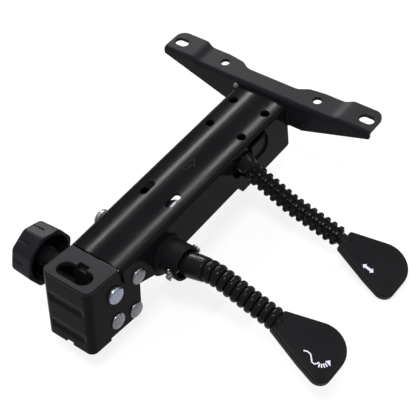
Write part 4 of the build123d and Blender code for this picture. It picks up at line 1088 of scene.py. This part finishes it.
@dataclass
class BackBracket(Assembly):
    """The tilting bracket that holds the back upright, with its cap, rivets and bolt.

    It is modelled upright, with the top front edge of the cap at the origin, and then leant back.
    """

    body: Body = Body.BRACKET
    front_y: float = -182.5
    top_z: float = 58.3
    lean: float = 8.5
    half: float = 24.7
    sheet: float = 2.5
    depth: float = 36.3
    height: float = 67.5
    cap: float = 4.2
    corner: float = 6.0
    facets: int = 26
    rows: int = 44
    front: float = 40.0
    hub: float = 12.0
    foot: Point = (23.5, -14.0)
    ribs: Point = (-24.0, -53.0)
    rib_half: float = 18.0
    rib_width: float = 7.0
    rib_depth: float = 1.3
    rib_slopes: tuple[float, ...] = (1.6, 3.4, 1.5, 4.5)
    notch: float = 3.75
    pins: tuple[Point, Point] = ((16.6, -56.5), (-5.2, -51.6))
    bolt: Point = (-6.5, -21.5)
    pivot: Point = (19.2, -19.2)
    bolt_tip: float = -63.7
    bolt_head: Point = (8.0, 4.2)

    def stand(self) -> Matrix:
        """The matrix that leans the upright bracket back onto the beam."""
        turn = Matrix.Rotation(-radians(self.lean), 4, "X")
        return Matrix.Translation(Vector((0, self.front_y, self.top_z)) * MM) @ turn

    def spot(self, y: float, z: float) -> Spot:
        """A point of the upright bracket, in the model."""
        return tuple(self.stand() @ (Vector((0, y, z)) * MM) / MM)

    def press_ribs(self, shell: Solid) -> None:
        """Presses the two ribs into the rear wall.

        Args:
            shell: the bent sheet, upright.
        """
        group = shell.vertex_groups.new(name="ribs")
        out, slope, end_out, end_slope = self.rib_slopes
        for vertex in shell.data.vertices:
            x, y, z = vertex.co / MM
            if y > -self.depth + self.sheet + 0.1:
                continue
            down = max(ease((self.rib_width / 2 + out - abs(z - rib)) / slope) for rib in self.ribs)
            group.add([vertex.index], down * ease((self.rib_half + end_out - abs(x)) / end_slope), "REPLACE")
        apply(shell, "DISPLACE", direction="Y", strength=self.rib_depth * MM, mid_level=0.0, vertex_group="ribs")

    def shell(self) -> None:
        """Models the bent shell with its ears, ribs and notch."""
        rear = -self.depth
        plan = channel(self.half, self.front, self.corner, self.sheet, -90, self.facets, lambda _: rear)
        shell = prism("bracket_pressing", plan, "Z", -self.cap, self.cap - self.height, self.rows)
        self.press_ribs(shell)
        hub = arc(self.pivot, self.hub, 90, -69, 22)
        ahead, behind = self.foot
        low, under, top = 2.5 - self.height, -self.height - 1, 1 - self.cap
        ear = [*hub, *rounded([(*hub[-1], 0), (ahead, low, 6.0), (behind, low, 0)])[1:], (behind, under)]
        ear += [(rear - 1, under), (rear - 1, top), (-1.8, top)]
        cut(shell, prism("ear_cut", ear, "X", -30.0, 60.0), keep=True)
        notch = [(-self.notch, -40.0), (self.notch, -40.0), (self.notch, -30.0), (-self.notch, -30.0)]
        tools = [prism("notch_cut", notch, "Z", under, 4.0)]
        for (y, z), radius in ((self.pivot, SHANK + 0.1), (self.bolt, SHANK), *((pin, SHANK) for pin in self.pins)):
            tools.append(prism("pin_cut", slot(y, z, radius, radius), "X", -30.0, 60.0))
        cut(shell, *tools)
        soften(shell, 0.5, 2, 50.0)
        self.hand_over(place(smooth(shell, 34.0), self.stand()), PAINT, "bracket_shell")

    def lid(self) -> None:
        """Models the cap with the slot for the flat-oval upright."""
        half, rear = self.half, -self.depth
        plan = rounded([(half, 0, 0.8), (-half, 0, 0.8), (-half, rear, self.corner), (half, rear, self.corner)], 8)
        cap = prism("cap_plate", plan, "Z", -self.cap, self.cap)
        soften(cap, 1.0, 3, 50.0)
        notch = [(-5.0, -23.0), (5.0, -23.0), (5.0, -11.3), (-5.0, -11.3)]
        cut(cap, bore(slot(0, -23.4, 16.5, 7.5, 48), 0.0, 6.0, 0.6), bore(notch, 0.0, 6.0, 0.3))
        self.hand_over(place(smooth(cap, 34.0), self.stand()), SATIN, "bracket_cap")

    def build(self) -> None:
        """Builds the bracket's pieces."""
        self.shell()
        self.lid()
        self.refine(MOULDING, 0.6, "guide_shoe")
        rivets = [lathe(f"rivet_{i}", rivet(self.half), self.spot(*pin)) for i, pin in enumerate(self.pins)]
        self.hand_over(smooth(join("bracket_rivet_heads", rivets)), ZINC, "bracket_rivets")
        profile = [(self.bolt_tip, 0), (self.bolt_tip, 3.4), (self.bolt_tip + 0.7, SHANK), (self.half, SHANK)]
        bolt = lathe("bolt_with_head", profile + dome(self.half, *self.bolt_head), self.spot(*self.bolt))
        self.hand_over(smooth(bolt), BLUE_ZINC, "clamp_bolt")


@dataclass
class HandKnob(Assembly):
    """The hand knob that clamps the back upright, with its sleeve and insert."""

    body: Body = Body.KNOB
    back_x: float = -44.6
    thickness: float = 22.4
    ridge: float = 25.6
    sides: int = 8
    turn: float = 49.0
    fillet: float = 7.0
    shrink: float = 0.954
    rows: int = 8
    crown: float = 2.6
    centre: Point = (-192.107, 37.997)
    hub: Points = (
        (-1, 0), (-1, 9.3), (2.5, 9.3), (2.5, 7.0), (15.5, 7.0), (15.5, 4.1), (19.9, 4.1), (19.9, 0),
    )
    hollow: Point = (9.0, 9.4)
    hollow_depth: float = 17.4
    groove: float = 1.6

    def grip(self) -> None:
        """Models the eight-sided grip, hollow at the back, with a groove on each side."""
        y, z = self.centre
        turns = [radians(self.turn - 360 / self.sides * k) for k in range(self.sides)]
        corners = [(y + self.ridge * cos(t), z + self.ridge * sin(t), self.fillet) for t in turns]
        knob = draw("knob_body", laid(rounded(corners), "X", self.back_x))
        for row in range(self.rows):
            reach = self.back_x - self.thickness * (row + 1) / self.rows
            push((-self.thickness / self.rows, 0, 0), (self.shrink ** (1 / self.rows),) * 3, (reach, y, z))
        pick(knob, lambda m: m.x < self.back_x - self.thickness + 0.05)
        ops.region_to_loop()
        ops.bevel(offset=self.crown * MM, segments=4)
        close_up(knob)
        soften(knob, 0.7, 2, 60.0)
        flat = self.ridge * cos(pi / self.sides)
        back, away = (self.back_x, y, z), (-1, 0, 0)
        mouth, floor = self.hollow
        deep, end = self.hollow_depth, self.thickness + 1
        hollow = [(-1, mouth), (-1, flat - 2.6), (deep, flat - 3.4), (deep, floor), (-1, mouth)]
        tools = [lathe("hollow", hollow, back, away, 64), lathe("hub_bore", self.hub, back, away)]
        groove = [(8.0, 0), (8.3, 1.1), (9.4, self.groove), (end, self.groove), (end, 0)]
        for t in turns:
            middle = t + pi / self.sides
            spot = (self.back_x, y + (flat - 0.1) * cos(middle), z + (flat - 0.1) * sin(middle))
            tools.append(lathe("groove", groove, spot, away, 12))
        cut(knob, *tools)
        self.hand_over(smooth(knob, 36.0), KNOB_SKIN, "knob")

    def build(self) -> None:
        """Builds the knob's pieces."""
        self.grip()
        self.refine(BRASS, 0.2, "knob_insert")
        self.body = Body.CARRIER
        self.refine(MOULDING, 0.3, "knob_sleeve")


# --- studio


@dataclass(frozen=True)
class Lamp:
    """A rectangular lamp: its place, target and size in millimetres, its power in watts and the rays that see it."""

    name: str
    spot: Spot
    target: Spot
    length: float
    width: float
    power: float
    matt: bool = True
    glossy: bool = True

    def hang(self) -> None:
        """Hangs the lamp with its length along the beam."""
        data = bpy.data.lights.new(self.name, "AREA")
        data.shape = "RECTANGLE"
        data.size, data.size_y = self.length * MM, self.width * MM
        data.energy = self.power
        back = (Vector(self.spot) - Vector(self.target)).normalized()
        along = Vector((0, 1, 0))
        side = (along - back * along.dot(back)).normalized()
        turn = Matrix((side, back.cross(side), back)).transposed().to_4x4()
        lamp = add(self.name, data)
        lamp.matrix_world = Matrix.Translation(Vector(self.spot) * MM) @ turn
        lamp.visible_diffuse = self.matt
        lamp.visible_glossy = self.glossy


CORNER, MIDDLE = (26.0, -70.0, 56.5), (20.0, -70.0, 30.0)
# The line lamps hang where the crown mirrors them to the camera, as the reference's two bright lines. Only
# reflections show the edge lamps, which draw the crown's corners, and no reflection shows the fills.
LAMPS = (
    Lamp("line_lamp_1", (-843.2, 684.7, 1050.2), (-9.6, -70.0, 57.5), 1000.0, 30.0, 9.5),
    Lamp("line_lamp_2", (-559.7, 695.6, 1211.1), (17.4, -70.0, 57.5), 1000.0, 30.0, 9.5),
    Lamp("right_edge", (956.0, 680.0, 956.5), CORNER, 1000.0, 70.0, 5.0, matt=False),
    Lamp("left_edge", (-1114.0, 680.0, 671.5), CORNER, 1000.0, 70.0, 16.0, matt=False),
    Lamp("key", (290.0, -505.0, 1725.0), MIDDLE, 350.0, 700.0, 24.0),
    *(
        Lamp(f"{name}_fill", (x, y, 900.0), MIDDLE, 1100.0, 900.0, 2.5, glossy=False)
        for name, x, y in (("right", 1300.0, -500.0), ("rear", -700.0, -1300.0), ("left", -1300.0, 700.0))
    ),
)


@dataclass(frozen=True)
class Studio:
    """Floor, world, lamps and camera, with the reference's viewing angle."""

    azimuth: float = 43.03
    elevation: float = 46.96
    roll: float = -7.75
    eye: Spot = (465.8, -543.2, 716.7)
    lens: float = 95.97
    sky: float = 0.6
    paper: float = 0.85
    glow: float = 0.82
    size: float = 60.0
    gap: float = 0.0006

    def camera(self) -> None:
        """Sets the camera."""
        data = bpy.data.cameras.new("camera")
        data.lens = self.lens
        data.clip_end = 20.0
        camera = add("camera", data)
        turns = ((self.azimuth, "Z"), (90 - self.elevation, "X"), (self.roll, "Z"))
        around, tilt, roll = (Matrix.Rotation(radians(angle), 4, axis) for angle, axis in turns)
        camera.matrix_world = Matrix.Translation(Vector(self.eye) * MM) @ around @ tilt @ roll
        bpy.context.scene.camera = camera

    def world(self) -> None:
        """Makes an even pale world that lights softly."""
        world = bpy.data.worlds.new("studio")
        bpy.context.scene.world = world
        world.use_nodes = True
        backdrop = world.node_tree.nodes["Background"]
        backdrop.inputs["Color"].default_value = (1.0, 1.0, 1.0, 1.0)
        backdrop.inputs["Strength"].default_value = self.sky

    def floor(self, low: float) -> None:
        """Lays the white floor, which glows for camera, glossy and transmission rays.

        Args:
            low: height of the object's lowest point, in metres.
        """
        ready()
        ops.primitive_plane_add(size=self.size, location=(0, 0, low - self.gap))
        plane = bpy.context.object
        plane.name = "floor"
        paper = bpy.data.materials.new("floor_paper")
        paper.use_nodes = True
        tree = paper.node_tree
        diffuse = tree.nodes["Principled BSDF"]
        white = (self.paper, self.paper, self.paper, 1.0)
        for key, value in (("Base Color", white), ("Roughness", 0.9), ("Specular IOR Level", 0.0)):
            diffuse.inputs[key].default_value = value
        rays = add_node(tree, "LightPath", {}, {}).outputs
        seen = rays["Is Camera Ray"]
        for kind in ("Is Glossy Ray", "Is Transmission Ray"):
            seen = add_node(tree, "Math", {"operation": "MAXIMUM"}, {0: seen, 1: rays[kind]}).outputs[0]
        share = add_node(tree, "Math", {"operation": "MULTIPLY"}, {0: seen})
        share.inputs[1].default_value = self.glow
        glow = add_node(tree, "Emission", {"Color": (1.0, 1.0, 1.0, 1.0)}, {})
        sockets = {0: share.outputs[0], 1: diffuse.outputs[0], 2: glow.outputs[0]}
        blend = add_node(tree, "MixShader", {}, sockets)
        tree.links.new(blend.outputs[0], tree.nodes["Material Output"].inputs["Surface"])
        plane.data.materials.append(paper)
        plane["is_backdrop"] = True

    def build(self, low: float) -> None:
        """Builds the whole studio.

        Args:
            low: height of the object's lowest point, in metres.
        """
        self.floor(low)
        self.world()
        for lamp in LAMPS:
            lamp.hang()
        self.camera()
        bpy.context.scene.view_settings.view_transform = "Standard"


def main() -> None:
    """Loads the frame, builds every group in order, reports each piece and sets the studio."""
    logging.basicConfig(level=logging.INFO, format="%(message)s")
    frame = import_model()
    for group in (
        SeatBeam, FrontCrossbar, ColumnSocket, LiftLever, ReclineLever, ReclineLock, BackBracket, HandKnob,
    ):
        assembly = group(frame)
        assembly.build()
        for piece in assembly.made:
            log.info("%s: %s, %d faces", group.__name__, piece.name, len(piece.data.polygons))
    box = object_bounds()
    Studio().build(box[0][2])


if __name__ == "__main__":
    main()
